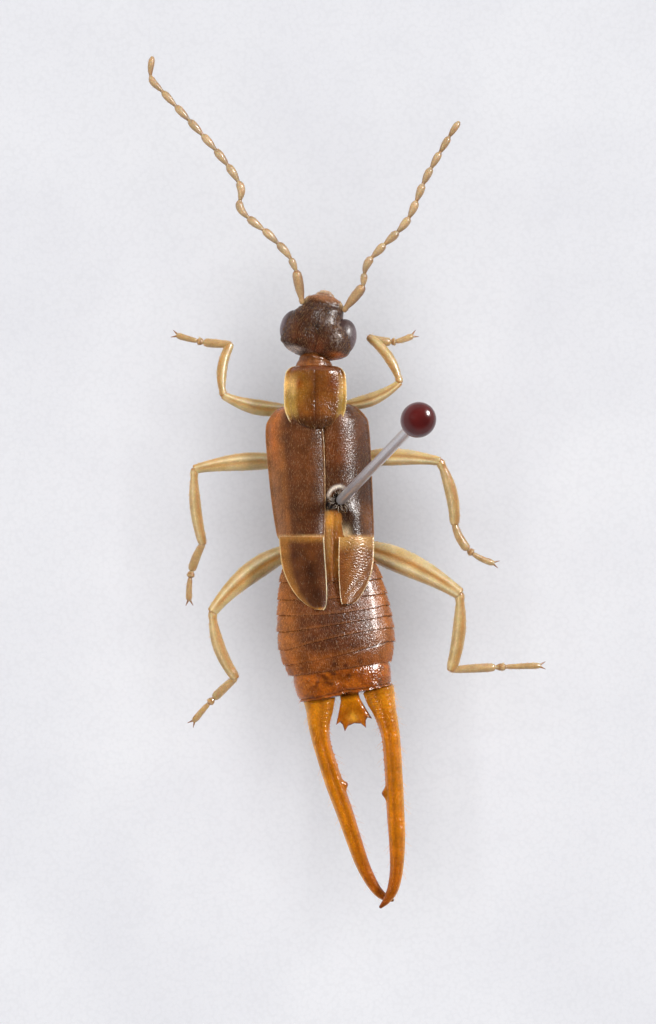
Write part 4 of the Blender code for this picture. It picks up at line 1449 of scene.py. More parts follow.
@dataclass
class Shield:
    """The neck shield and the front body under it.

    Attributes:
        width: The shield's width.
        front: How far forwards it reaches.
        rear: How far back it reaches.
        middle: The x of its middle.
        top: The height of its middle.
        crown: How far its sides fall.
    """

    width: float = 2.50
    front: float = 5.84
    rear: float = 3.36
    middle: float = -0.51
    top: float = PRONOTUM_TOP
    crown: float = 0.27

    def height(self, s: Array, t: Array) -> Array:
        """Gives the shield's height at a share across and a share back.

        Args:
            s: The share across, from left to right.
            t: The share from front to rear.

        Returns:
            The height over the body's middle.
        """
        side = np.abs(2 * s - 1)
        nose = 0.22 * np.maximum(0.0, 0.22 - t) / 0.22
        plain = self.top - self.crown * side ** 2.4 - nose
        groove = -0.012 * bump_at(s, 0.5, 0.02) * ramp(t, 0.04, 0.14) * ramp(t, 0.78, 0.6)
        lobes = 0.070 * (bump_at(s, 0.27, 0.12) + bump_at(s, 0.74, 0.12)) * bump_at(t, 0.28, 0.16)
        waist = -0.050 * bump_at(t, 0.53, 0.07) * ramp(side, 0.7, 0.4)
        gutter = -0.050 * bump_at(side, 0.86, 0.06) * ramp(t, 0.05, 0.2)
        rim = 0.035 * ramp(side, 0.93, 0.99)
        pits = -0.020 * (bump_at(s, 0.36, 0.02) + bump_at(s, 0.64, 0.02)) * bump_at(t, 0.20, 0.03)
        return plain + groove + lobes + waist + gutter + rim + pits

    def shell(self) -> Shell:
        """Gives the shield's plate."""
        outline = (
            (0.00, 0.50), (0.03, 0.77), (0.11, 0.93), (0.26, 0.99), (0.47, 1.00),
            (0.68, 0.98), (0.84, 0.88), (0.94, 0.72), (1.00, 0.43),
        )
        half = self.width / 2
        run = self.front - self.rear
        rows = tuple(
            (self.front - share * run, self.middle - wide * half, self.middle + wide * half)
            for share, wide in outline
        )
        return Shell(rows, self.height, across=120, along=120, thickness=0.20)

    def paint(self, shell: Shell, place: Place) -> Array:
        """Colours the shield: a dark middle between clear amber and olive sides.

        Args:
            shell: The shield's plate.
            place: Its points.

        Returns:
            Their colours.
        """
        s, _ = shell.split(place)
        t = (self.front - place.y) / (self.front - self.rear)
        side = np.abs(2 * s - 1)
        colour = blend(tone(138, 82, 30), tone(110, 62, 22),
                0.5 + 0.5 * ripple(place.x, place.y, 0.4))
        fibre = 0.5 + 0.5 * np.sin(place.x * 46 + 1.6 * np.sin(place.y * 3))
        colour = over(colour, 88, 44, 14, 0.45 * fibre * ramp(side, 0.5, 0.1) * ramp(t, 0.2, 0.5))
        colour = over(colour, 92, 46, 16, 0.6 * ramp(side, 0.34, 0.02))
        colour = over(colour, 72, 34, 12, 0.5 * bump_at(s, 0.50, 0.02) * ramp(t, 0.1, 0.3))
        spot = bump_at(s, 0.22, 0.09) * bump_at(t, 0.30, 0.09)
        halo = bump_at(s, 0.20, 0.18) * bump_at(t, 0.34, 0.24)
        colour = over(colour, 150, 106, 36, 0.8 * halo)
        colour = over(colour, 146, 72, 18, 0.9 * spot)
        lobe = bump_at(s, 0.80, 0.12) * bump_at(t, 0.30, 0.13)
        colour = over(colour, 112, 54, 20, 0.9 * lobe)
        edge = ramp(side, 0.50 + 0.16 * (s > 0.5), 0.72 + 0.10 * (s > 0.5))
        clear = blend(tone(216, 172, 100), tone(188, 150, 76), ramp(t, 0.3, 0.6))
        clear = blend(clear, tone(146, 112, 42), 0.7 * bump_at(t, 0.62, 0.14))
        colour = blend(colour, clear,
                0.9 * edge * ramp(t, 0.08, 0.32) * ramp(t, 0.92, 0.72) * (1 - lobe))
        colour = over(colour, 58, 30, 12, 0.85 * ramp(t, 0.72, 0.90) * ramp(side, 0.95, 0.6))
        colour = over(colour, 96, 48, 22, 0.8 * ramp(t, 0.14, 0.03))
        return over(colour, 226, 196, 140, 0.9 * ramp(side, 0.955, 0.985))

    def core(self) -> bpy.types.Mesh:
        """Makes the front body, with the plates that carry the front legs."""
        x = self.middle
        rows = (
            (x, 5.58, 0.0, 0.80, 0.36, 0.62), (x, 5.10, 0.0, 1.04, 0.40, 1.00),
            (x, 4.30, 0.0, 1.12, 0.40, 1.16), (x + 0.04, 3.72, 0.0, 1.10, 0.34, 1.20),
        )

        def relief(across: Array, along: Array) -> Array:
            """Gives how far the skin stands out at each place."""
            seams = bump_at(np.abs(np.cos(across * 2 * math.pi)), 0.45, 0.05)
            bands = bump_at(along, 0.36, 0.03) + bump_at(along, 0.70, 0.03)
            return -0.035 * np.maximum(seams * ramp(np.sin(across * 2 * math.pi), 0.2, -0.2), bands)

        def paint(place: Place) -> Array:
            """Gives the colour at each place."""
            shade = 0.5 + 0.5 * ripple(place.x, place.y + place.z, 0.5, 2.0)
            colour = blend(tone(176, 118, 52), tone(126, 74, 30), shade)
            # Painted shade: the top, which lies under the shield, is darker.
            return over(colour, 92, 50, 24, 0.6 * ramp(place.z, 0.0, 0.4))

        loft = Loft(rows, rings=70, sides=96, power=2.5, dome=0.2, relief=relief)
        return loft.skin().mesh("earwig_front_body", paint)

    def build(self) -> dict[str, Piece]:
        """Makes the shield and the front body.

        Returns:
            The piece that carries down, by name.
        """
        finish = Cuticle(
            "shield cuticle", roughness=0.22, coat=0.30, scatter=0.35, pit=0.08, pit_depth=0.45,
            grain=0.03, grain_depth=0.4, down=0.04, mottle=0.30,
        ).material()
        body = Cuticle("body cuticle", roughness=0.42, coat=0.2, scatter=0.3, mottle=0.3).material()
        shell = self.shell()

        def growth(place: Place) -> Array:
            """Gives how thickly the hairs grow at each place."""
            _, upper = shell.split(place)
            t = (self.front - place.y) / (self.front - self.rear)
            return upper * (0.25 + 0.75 * ramp(t, 0.6, 0.9))

        mesh = shell.skin().mesh("earwig_shield", lambda place: self.paint(shell, place), growth)
        shield = show(mesh, finish, Slot.THORAX, "pronotum")
        show(self.core(), body, Slot.THORAX, "prothorax")
        return {"shield": shield}


@dataclass
class Wings:
    """The two wing cases and the folded wing tips behind them.

    Attributes:
        top: The height of a case's inner part.
        drop: How far its outer edge falls.
        tip_top: The height of a folded tip.
    """

    top: float = 0.96
    drop: float = 0.95
    tip_top: float = 1.02
    left_rows: tuple[Row, ...] = (
        (4.26, -0.88, -1.70), (4.08, -0.56, -2.08), (3.70, -0.30, -2.38), (3.28, -0.20, -2.50),
        (2.28, -0.13, -2.45), (0.48, -0.10, -2.27), (-0.52, -0.12, -2.12), (-1.00, -0.15, -2.02),
        (-1.16, -0.24, -1.84),
    )
    right_rows: tuple[Row, ...] = (
        (4.32, -0.06, 0.84), (4.18, -0.14, 1.16), (3.86, -0.20, 1.48), (3.48, -0.22, 1.63),
        (2.08, -0.22, 1.74), (1.20, -0.20, 1.77), (0.48, -0.08, 1.80), (0.10, 0.26, 1.81),
        (-0.08, 0.48, 1.82), (-0.52, 0.54, 1.83), (-1.00, 0.66, 1.83), (-1.16, 0.92, 1.70),
    )
    left_tip: tuple[Row, ...] = (
        (-1.00, -0.16, -1.96), (-1.92, -0.10, -1.88), (-2.52, -0.06, -1.72), (-3.04, -0.04, -1.46),
        (-3.44, -0.04, -1.16), (-3.72, -0.08, -0.82), (-3.88, -0.20, -0.54),
    )
    right_tip: tuple[Row, ...] = (
        (-1.00, 0.44, 1.84), (-1.72, 0.42, 1.83), (-2.32, 0.42, 1.76), (-2.80, 0.44, 1.60),
        (-3.24, 0.48, 1.37), (-3.52, 0.52, 1.16), (-3.66, 0.58, 0.98),
    )

    def case_height(self, s: Array, t: Array) -> Array:
        """Gives a case's height, s from its inner edge and t from front to rear.

        Args:
            s: The share from the inner edge to the outer one.
            t: The share from front to rear.

        Returns:
            The height over the body's middle.
        """
        seam = 0.08 * (1 - s) ** 5 + 0.08 * (1 - s) ** 6 * ramp(t, 0.10, 0.22) * ramp(t, 0.95, 0.7)
        shoulder = 0.32 * (np.maximum(0.0, 0.38 - t) / 0.38) ** 1.6
        plain = self.top - self.drop * s ** 3.4 - seam - shoulder
        rim = 0.03 * ramp(s, 0.965, 0.995) - 0.035 * bump_at(s, 0.945, 0.015)
        inner = 0.022 * ramp(s, 0.035, 0.010)
        tail = -0.06 * ramp(t, 0.94, 1.0)
        return plain + rim + inner + tail

    def under_height(self, s: Array, t: Array) -> Array:
        """Gives the right case's height, whose inner edge slips under the left case's."""
        return self.case_height(s, t) - 0.09 * ramp(s, 0.16, 0.02)

    def tip_height(self, s: Array, t: Array) -> Array:
        """Gives a folded wing tip's height, s from its inner edge and t from front to rear."""
        plain = self.tip_top + 0.16 * t - 0.50 * s ** 2.6 * (1 - 0.55 * t) - 0.06 * (1 - s) ** 4
        return plain + 0.02 * ramp(s, 0.04, 0.0) + 0.02 * ramp(s, 0.95, 1.0)

    def ribbed_height(self, s: Array, t: Array) -> Array:
        """Gives the right tip's height, with the fine cross wrinkles that it shows."""
        return self.tip_height(s, t) + 0.006 * self.wave(s, t) * ramp(s, 0.02, 0.12) * ramp(s, 1.0,
                0.9)

    @staticmethod
    def wave(s: Array, t: Array) -> Array:
        """The right tip's cross wrinkles, from -1 to 1, uneven and broken up."""
        bent = (1.5 * np.sin(s * 11 + t * 9) + 1.3 * np.sin(s * 27 + t * 31)
                + 0.8 * np.sin(s * 61 - t * 47))
        return np.sin(t * 215 + bent) * (0.6 + 0.4 * np.sin(s * 19 + t * 23))

    def case_paint(self, shell: Shell, side: Side, place: Place) -> Array:
        """Colours a wing case: dark, with a clear orange outer margin and a pale rear band.

        Args:
            shell: The case's plate.
            side: Which case it is.
            place: Its points.

        Returns:
            Their colours.
        """
        s, _ = shell.split(place)
        x, y = place.x, place.y
        colour = blend(tone(78, 42, 18), tone(98, 54, 24), 0.5 + 0.5 * ripple(x, y, 0.7, 4.0))
        colour = over(colour, 68, 32, 14, 0.7 * bump_at(s, 0.22, 0.2) * ramp(y, 1.0, -0.4))
        outer = ramp(s, 0.62, 0.90)
        margin = tone(146, 92, 48) if side is Side.LEFT else tone(92, 52, 26)
        colour = blend(colour, margin, 0.8 * outer)
        if side is Side.LEFT:
            colour = over(colour, 172, 92, 22, 0.85 * bump_at(s, 0.86, 0.10) * ramp(y, 1.2, 2.8))
            colour = over(colour, 150, 88, 34, 0.6 * bump_at(s, 0.74, 0.06) * ramp(y, 3.2, 2.0))
        else:
            warm = ramp(y, 1.4, 2.2) * ramp(y, 3.6, 2.8) * ramp(s, 0.7, 0.4)
            colour = over(colour, 58, 30, 14, 0.7 * ramp(y, 3.0, 2.0))
            colour = over(colour, 112, 58, 22, 0.5 * warm)
            torn = np.hypot((x - 0.46) / 0.34, (y - 0.44) / 0.40)
            colour = over(colour, 16, 10, 8, ramp(torn, 1.25, 0.7))
            lip = bump_at(torn, 1.45, 0.16) * ramp(y, 0.5, 0.75) * ramp(x, 0.75, 0.45)
            colour = over(colour, 226, 214, 200, 0.9 * lip)
            colour = over(colour, 46, 24, 12, 0.85 * ramp(y, 0.6, 0.1) * ramp(s, 0.7, 0.3))
            colour = over(colour, 118, 68, 24, 0.7 * ramp(s, 0.5, 0.8) * ramp(y, 0.6, 0.1))
            corner = bump_at(x, 0.66, 0.22) * bump_at(y, -0.86, 0.26)
            colour = over(colour, 228, 200, 156, 0.8 * corner)
        band = ramp(y, -0.84, -1.02)
        pale = blend(tone(176, 118, 62), tone(222, 184, 124), 0.5 + 0.5 * ripple(x, y, 0.2, 1.0))
        colour = blend(colour, pale, 0.8 * band)
        colour = over(colour, 160, 108, 66, 0.7 * ramp(s, 0.975, 0.995))
        return over(colour, 196, 160, 112, 0.5 * ramp(s, 0.022, 0.006))

    def tip_paint(self, shell: Shell, side: Side, place: Place) -> Array:
        """Colours a folded wing tip.

        Args:
            shell: The tip's plate.
            side: Which tip it is.
            place: Its points.

        Returns:
            Their colours.
        """
        s, _ = shell.split(place)
        x, y = place.x, place.y
        t = place.along
        if side is Side.LEFT:
            colour = blend(tone(92, 50, 20), tone(74, 38, 16), 0.5 + 0.5 * ripple(x, y, 0.5, 2.0))
            colour = over(colour, 52, 24, 8, 0.7 * bump_at(s, 0.36, 0.2) * ramp(t, 0.1, 0.3))
            margin = ramp(s, 0.70, 0.92) + ramp(t, 0.84, 0.97)
            colour = over(colour, 158, 102, 40, 0.85 * margin)
            colour = over(colour, 166, 112, 44, 0.6 * ramp(t, 0.07, 0.01))
            colour = blend(colour, CREAM, 0.8 * ramp(s, 0.035, 0.012))
            rim = np.maximum(ramp(s, 0.965, 0.988), ramp(t, 0.975, 0.992))
            return over(colour, 206, 176, 122, 0.85 * rim)
        colour = blend(tone(116, 70, 30), tone(140, 88, 42), 0.5 + 0.5 * ripple(x, y, 0.5, 5.0))
        colour = over(colour, 112, 62, 28, 0.7 * ramp(s, 0.42, 0.05))
        colour = over(colour, 122, 74, 34, 0.7 * ramp(t, 0.7, 0.95))
        # Painted shade in the troughs of the cross wrinkles.
        colour = over(colour, 84, 48, 26, 0.35 * ramp(self.wave(s, t), 0.0, -1.0))
        colour = over(colour, 186, 140, 76, 0.8 * ramp(t, 0.16, 0.03))
        rim = np.maximum(ramp(s, 0.955, 0.985), ramp(s, 0.03, 0.01))
        colour = over(colour, 222, 190, 140, 0.85 * rim)
        return over(colour, 48, 28, 18, 0.9 * ramp(t, 0.975, 0.995))

    def build(self) -> dict[str, Piece]:
        """Makes the two cases and the two tips.

        Returns:
            The pieces that carry down, by name.
        """
        case_finish = Cuticle(
            "wing case cuticle", roughness=0.25, coat=0.03, scatter=0.15, pit=0.05, pit_depth=0.5,
            grain=0.03, grain_depth=0.35, down=0.05, mottle=0.36,
        ).material()
        film = Cuticle(
            "wing membrane", roughness=0.26, coat=0.15, scatter=0.20, pit=0.05, pit_depth=0.4,
            grain=0.03, grain_depth=0.3, down=0.05, mottle=0.32,
        ).material()
        made = {}
        plans = (
            (Side.LEFT, self.left_rows, self.left_tip), (Side.RIGHT, self.right_rows,
                    self.right_tip),
        )
        for side, case_rows, tip_rows in plans:
            fall = self.case_height if side is Side.LEFT else self.under_height
            case = Shell(case_rows, fall, across=96, along=220)
            made[f"case_{side.label}"] = self._plate(case, side, self.case_paint, case_finish)
            height = self.tip_height if side is Side.LEFT else self.ribbed_height
            tip = Shell(tip_rows, height, across=90, along=190, thickness=0.10, rim=0.04)
            made[f"tip_{side.label}"] = self._plate(tip, side, self.tip_paint, film)
        return made

    def _plate(
        self, shell: Shell, side: Side, paint: Callable[[Shell, Side, Place], Array],
        finish: bpy.types.Material,
    ) -> Piece:
        """Makes one plate of the wings.

        Args:
            shell: The plate.
            side: Which side it is on.
            paint: How it is coloured.
            finish: Its material.

        Returns:
            The piece.
        """
        is_case = paint == self.case_paint
        node = f"wing_{'case' if is_case else 'tip'}_{side.label}"

        def growth(place: Place) -> Array:
            """Gives how thickly the hairs grow at each place."""
            share, upper = shell.split(place)
            seam = 0.8 * ramp(share, 0.25, 0.05)
            return upper * (0.45 + seam) * (1.0 if is_case else 0.4)

        mesh = shell.skin().mesh(f"earwig_{node}", lambda place: paint(shell, side, place), growth)
        return show(mesh, finish, Slot.CASE if is_case else Slot.MEMBRANE, node)


@dataclass
class Trunk:
    """The middle body, whose folded hind wings show as an amber strip between the cases."""

    rows: tuple[Row, ...] = (
        (-0.42, 3.50, 0.0, 1.16, 0.30, 1.18), (-0.36, 2.80, 0.0, 1.50, 0.32, 1.26),
        (-0.30, 1.40, 0.0, 1.66, 0.32, 1.32), (-0.24, 0.00, 0.0, 1.66, 0.32, 1.34),
        (-0.16, -1.10, 0.0, 1.56, 0.34, 1.28),
    )
    strip_rows: tuple[Row, ...] = (
        (0.60, -0.30, 0.62), (-0.20, -0.26, 0.66), (-1.20, -0.22, 0.62), (-2.20, -0.20, 0.58),
        (-3.10, -0.16, 0.58), (-3.50, -0.12, 0.56),
    )
    strip_top: float = 0.74

    def body(self) -> bpy.types.Mesh:
        """Makes the middle body with the plates of its underside.

        Returns:
            Its mesh.
        """

        def relief(across: Array, along: Array) -> Array:
            """Gives how far the skin stands out at each place."""
            around = across * 2 * math.pi
            seams = bump_at(np.abs(np.cos(around)), 0.30, 0.03) + bump_at(np.abs(np.cos(around)),
                    0.8, 0.04)
            bands = bump_at(along, 0.28, 0.015) + bump_at(along, 0.60, 0.015) + bump_at(along,
                    0.84, 0.015)
            return -0.05 * np.minimum(seams + bands, 1.0)

        def paint(place: Place) -> Array:
            """Gives the colour at each place."""
            shade = 0.5 + 0.5 * ripple(place.x, place.y + place.z, 0.6, 2.0)
            colour = blend(tone(168, 110, 46), tone(112, 62, 26), shade)
            # Painted shade: the top, which lies under the wing cases, is near black.
            return over(colour, 40, 20, 12, ramp(place.z, 0.0, 0.22))

        loft = Loft(self.rows, rings=110, sides=120, power=2.6, dome=0.2, relief=relief)
        return loft.skin().mesh("earwig_middle_body", paint)

    def strip(self) -> bpy.types.Mesh:
        """Makes the folded hind wings between the cases, with their lengthwise folds.

        Returns:
            Their mesh.
        """

        def height(s: Array, t: Array) -> Array:
            """Gives the height of the surface at each place."""
            folds = 0.015 * bump_at(s, 0.42, 0.07) + 0.01 * bump_at(s, 0.62, 0.05)
            return self.strip_top + 0.10 * t - 0.30 * ramp(t, 0.9, 1.0) + folds

        def paint(place: Place) -> Array:
            """Gives the colour at each place."""
            s, _ = shell.split(place)
            y = place.y
            colour = blend(tone(132, 76, 26), tone(152, 96, 36), 0.5 + 0.5 * ripple(s * 2, y, 0.4))
            colour = over(colour, 180, 142, 84, 0.5 * bump_at(s, 0.28, 0.12) * ramp(y, -2.2, -1.3))
            colour = over(colour, 206, 140, 48,
                    0.9 * bump_at(y, -0.36, 0.30) * bump_at(s, 0.46, 0.3))
            colour = over(colour, 104, 58, 24, 0.4 * bump_at(s, 0.58, 0.08))
            colour = over(colour, 118, 62, 24, 0.8 * ramp(y, -1.9, -3.0))
            # Painted shade: the front end, which runs under the wing cases, is near black.
            return over(colour, 36, 26, 24, ramp(y, -0.02, 0.14))

        shell = Shell(self.strip_rows, height, across=40, along=110, thickness=0.10, rim=0.04)
        return shell.skin().mesh("earwig_folded_wing", paint)

    def build(self) -> None:
        """Makes the middle body and the folded hind wings."""
        body = Cuticle("trunk cuticle", roughness=0.42, coat=0.2, scatter=0.3,
                mottle=0.3).material()
        film = Cuticle("hind wing", roughness=0.30, coat=0.45, scatter=0.4, mottle=0.2).material()
        show(self.body(), body, Slot.THORAX, "thorax")
        show(self.strip(), film, Slot.MEMBRANE)


@dataclass
class Abdomen:
    """The hind body's overlapping rings and its broad last ring.

    Attributes:
        outline: The body's own rows, without its rings.
        seams: The rings' rear edges: y at the left side, the middle and the right side.
        last: The last ring's rows.
    """

    outline: tuple[Row, ...] = (
        (-0.10, -1.42, 0.0, 1.50, 0.62, 1.12), (0.02, -2.30, 0.0, 1.90, 0.76, 1.18),
        (0.14, -3.30, 0.0, 2.13, 0.92, 1.22), (0.24, -4.20, 0.0, 2.25, 1.08, 1.24),
        (0.33, -5.05, 0.0, 2.30, 1.16, 1.22), (0.42, -5.75, 0.0, 2.20, 1.14, 1.16),
        (0.49, -6.22, 0.0, 2.04, 1.08, 1.08),
    )
    seams: tuple[tuple[float, float, float], ...] = (
        (-1.40, -1.40, -1.40), (-2.10, -2.10, -2.00), (-2.80, -2.80, -2.65), (-3.50, -3.45, -3.25),
        (-4.12, -4.05, -3.72), (-4.78, -4.50, -4.14), (-5.50, -4.98, -4.62), (-6.10, -5.72, -5.16),
        (-6.60, -6.40, -6.10),
    )
    last: tuple[Row, ...] = (
        (0.49, -6.05, 0.0, 1.90, 0.96, 0.96), (0.56, -6.50, 0.0, 1.98, 1.04, 1.02),
        (0.66, -6.98, 0.0, 1.93, 1.02, 0.96), (0.71, -7.24, 0.0, 1.86, 0.88, 0.82),
    )

    def ring(self, x: Array, y: Array) -> Array:
        """Tells how far back a point is, in rings.

        Args:
            x: To the right.
            y: Towards the head.

        Returns:
            The ring's number, with the share of the way through it.
        """
        middle = 0.24 - 0.10 * (y + 4.2)
        side = np.clip((x - middle) / 2.0, -1, 1)
        lines = []
        for left, centre, right in self.seams:
            bend = (left + right) / 2 - centre
            lines.append(centre + (right - left) / 2 * side + bend * side * side)
        found = np.zeros_like(y)
        for i, (a, b) in enumerate(zip(lines, lines[1:])):
            inside = (y <= a) & (y > b)
            found = np.where(inside, i + (a - y) / (a - b), found)
        return np.where(y <= lines[-1], len(lines) - 1.0, found)

    def rings_mesh(self) -> bpy.types.Mesh:
        """Makes the overlapping rings.

        Returns:
            Their mesh.
        """
        plain = Loft(self.outline, rings=260, sides=180, power=2.25, dome=0.15).skin()
        grid = plain.grid
        number = self.ring(grid[..., 0], grid[..., 1])
        share = number % 1.0
        step = ramp(share, 0.0, 0.10) * (0.35 + 0.65 * share)
        centre = np.array((0.24, 0.0, 0.0))
        outward = grid - centre
        outward[..., 1] = 0
        outward[..., 0] += 0.10 * (grid[..., 1] + 4.2)
        outward /= np.maximum(np.linalg.norm(outward, axis=2), 1e-9)[..., None]
        sideways = np.abs(outward[..., 0]) ** 4
        ends = np.minimum(ramp(grid[..., 1], -1.3, -1.6), 1.0)
        lift = (0.030 + 0.060 * sideways) * step * ends - 0.030
        skin = Skin(grid + outward * lift[..., None], plain.ends)

        def paint(place: Place) -> Array:
            """Gives the colour at each place."""
            x, y = place.x, place.y
            share = self.ring(x, y) % 1.0
            side = np.abs(x - (0.24 - 0.10 * (y + 4.2))) / 2.2
            colour = blend(tone(108, 58, 24), tone(86, 44, 18), 0.5 + 0.5 * ripple(x, y, 0.5, 6.0))
            colour = over(colour, 72, 34, 14, 0.7 * ramp(side, 0.75, 0.1) * ramp(y, -3.2, -4.2))
            colour = over(colour, 168, 98, 36, 0.8 * ramp(side, 0.55, 0.95))
            rear = ramp(share, 0.70, 0.95)
            colour = over(colour, 138, 80, 34, 0.35 * rear)
            # The dark seam lines are partly the rings' dark joints and partly painted shade in the
            # step between rings; the painted shade is weaker on the left side.
            seam_shade_side = 0.35 + 0.65 * ramp(x, -1.0, 0.2)
            line = np.maximum(bump_at(share, 0.012, 0.022), bump_at(share, 0.995, 0.010))
            colour = over(colour, 34, 14, 8, 0.75 * line * seam_shade_side)
            tail = ramp(y, -5.3, -5.9)
            colour = over(colour, 146, 76, 18, 0.5 * tail)
            spots = (((0.24, -6.04), 0.14), ((1.28, -5.92), 0.14), ((0.70, -6.10), 0.10))
            for (px, py), size in spots:
                spot = np.exp(-((x - px) ** 2 + (y - py) ** 2) / size ** 2)
                colour = over(colour, 52, 20, 10, 0.8 * spot)
            under = ramp(place.z, -0.2, -0.7)
            return over(colour, 140, 84, 36, 0.6 * under)

        return skin.mesh("earwig_abdomen", paint,
                lambda place: 0.2 + 0.8 * ramp(place.z, -0.4, 0.2))

    def last_mesh(self) -> bpy.types.Mesh:
        """Makes the broad last ring, with its hollow middle and swollen rear corners.

        Returns:
            Its mesh.
        """

        def relief(across: Array, along: Array) -> Array:
            """Gives how far the skin stands out at each place."""
            lateral = np.cos(across * 2 * math.pi)
            upper = ramp(np.sin(across * 2 * math.pi), 0.0, 0.5)
            groove = -0.10 * bump_at(lateral, 0.0, 0.10) * ramp(along, 0.2, 0.5)
            lobes = 0.07 * bump_at(np.abs(lateral), 0.55, 0.2) * bump_at(along, 0.82, 0.12)
            lip = 0.04 * bump_at(along, 0.95, 0.03) - 0.05 * bump_at(along, 0.86, 0.03)
            knobs = 0.03 * np.sin(lateral * 26) * bump_at(along, 0.93, 0.05)
            return upper * (groove + lobes + knobs) + lip - 0.02

        def paint(place: Place) -> Array:
            """Gives the colour at each place."""
            x, y = place.x, place.y
            colour = blend(tone(160, 84, 18), tone(118, 56, 14),
                    0.5 + 0.5 * ripple(x, y, 0.45, 1.0))
            cloud = ramp(ripple(x, y, 0.34, 9.0), 0.15, 0.6) * ramp(y, -7.2, -6.7)
            colour = over(colour, 62, 26, 8, 0.7 * cloud)
            colour = over(colour, 196, 112, 26, 0.5 * ramp(np.abs(x - 0.66), 1.2, 1.8))
            rim = ramp(place.along, 0.93, 0.99)
            colour = over(colour, 112, 52, 18, 0.7 * rim)
            return over(colour, 188, 118, 40, 0.6 * ramp(place.z, -0.2, -0.7))

        loft = Loft(self.last, rings=110, sides=170, power=2.5, dome=0.1, relief=relief)
        return loft.skin().mesh("earwig_last_ring", paint, even(0.2))

    def build(self) -> dict[str, Piece]:
        """Makes the rings and the last ring.

        Returns:
            The pieces that carry down, by name.
        """
        rings = Cuticle(
            "abdomen cuticle", roughness=0.26, coat=0.15, scatter=0.15, pit=0.055, pit_depth=0.6,
            grain=0.035, grain_depth=0.5, down=0.05, mottle=0.40,
        ).material()
        glossy = Cuticle(
            "last ring cuticle", roughness=0.22, coat=0.25, scatter=0.30, pit=0.09, pit_depth=0.5,
            grain=0.05, grain_depth=0.3, down=0.03, mottle=0.38,
        ).material()
        abdomen = show(self.rings_mesh(), rings, Slot.ABDOMEN, "abdomen")
        last = show(self.last_mesh(), glossy, Slot.ABDOMEN, "abdomen_last_ring")
        return {"abdomen": abdomen, "last_ring": last}


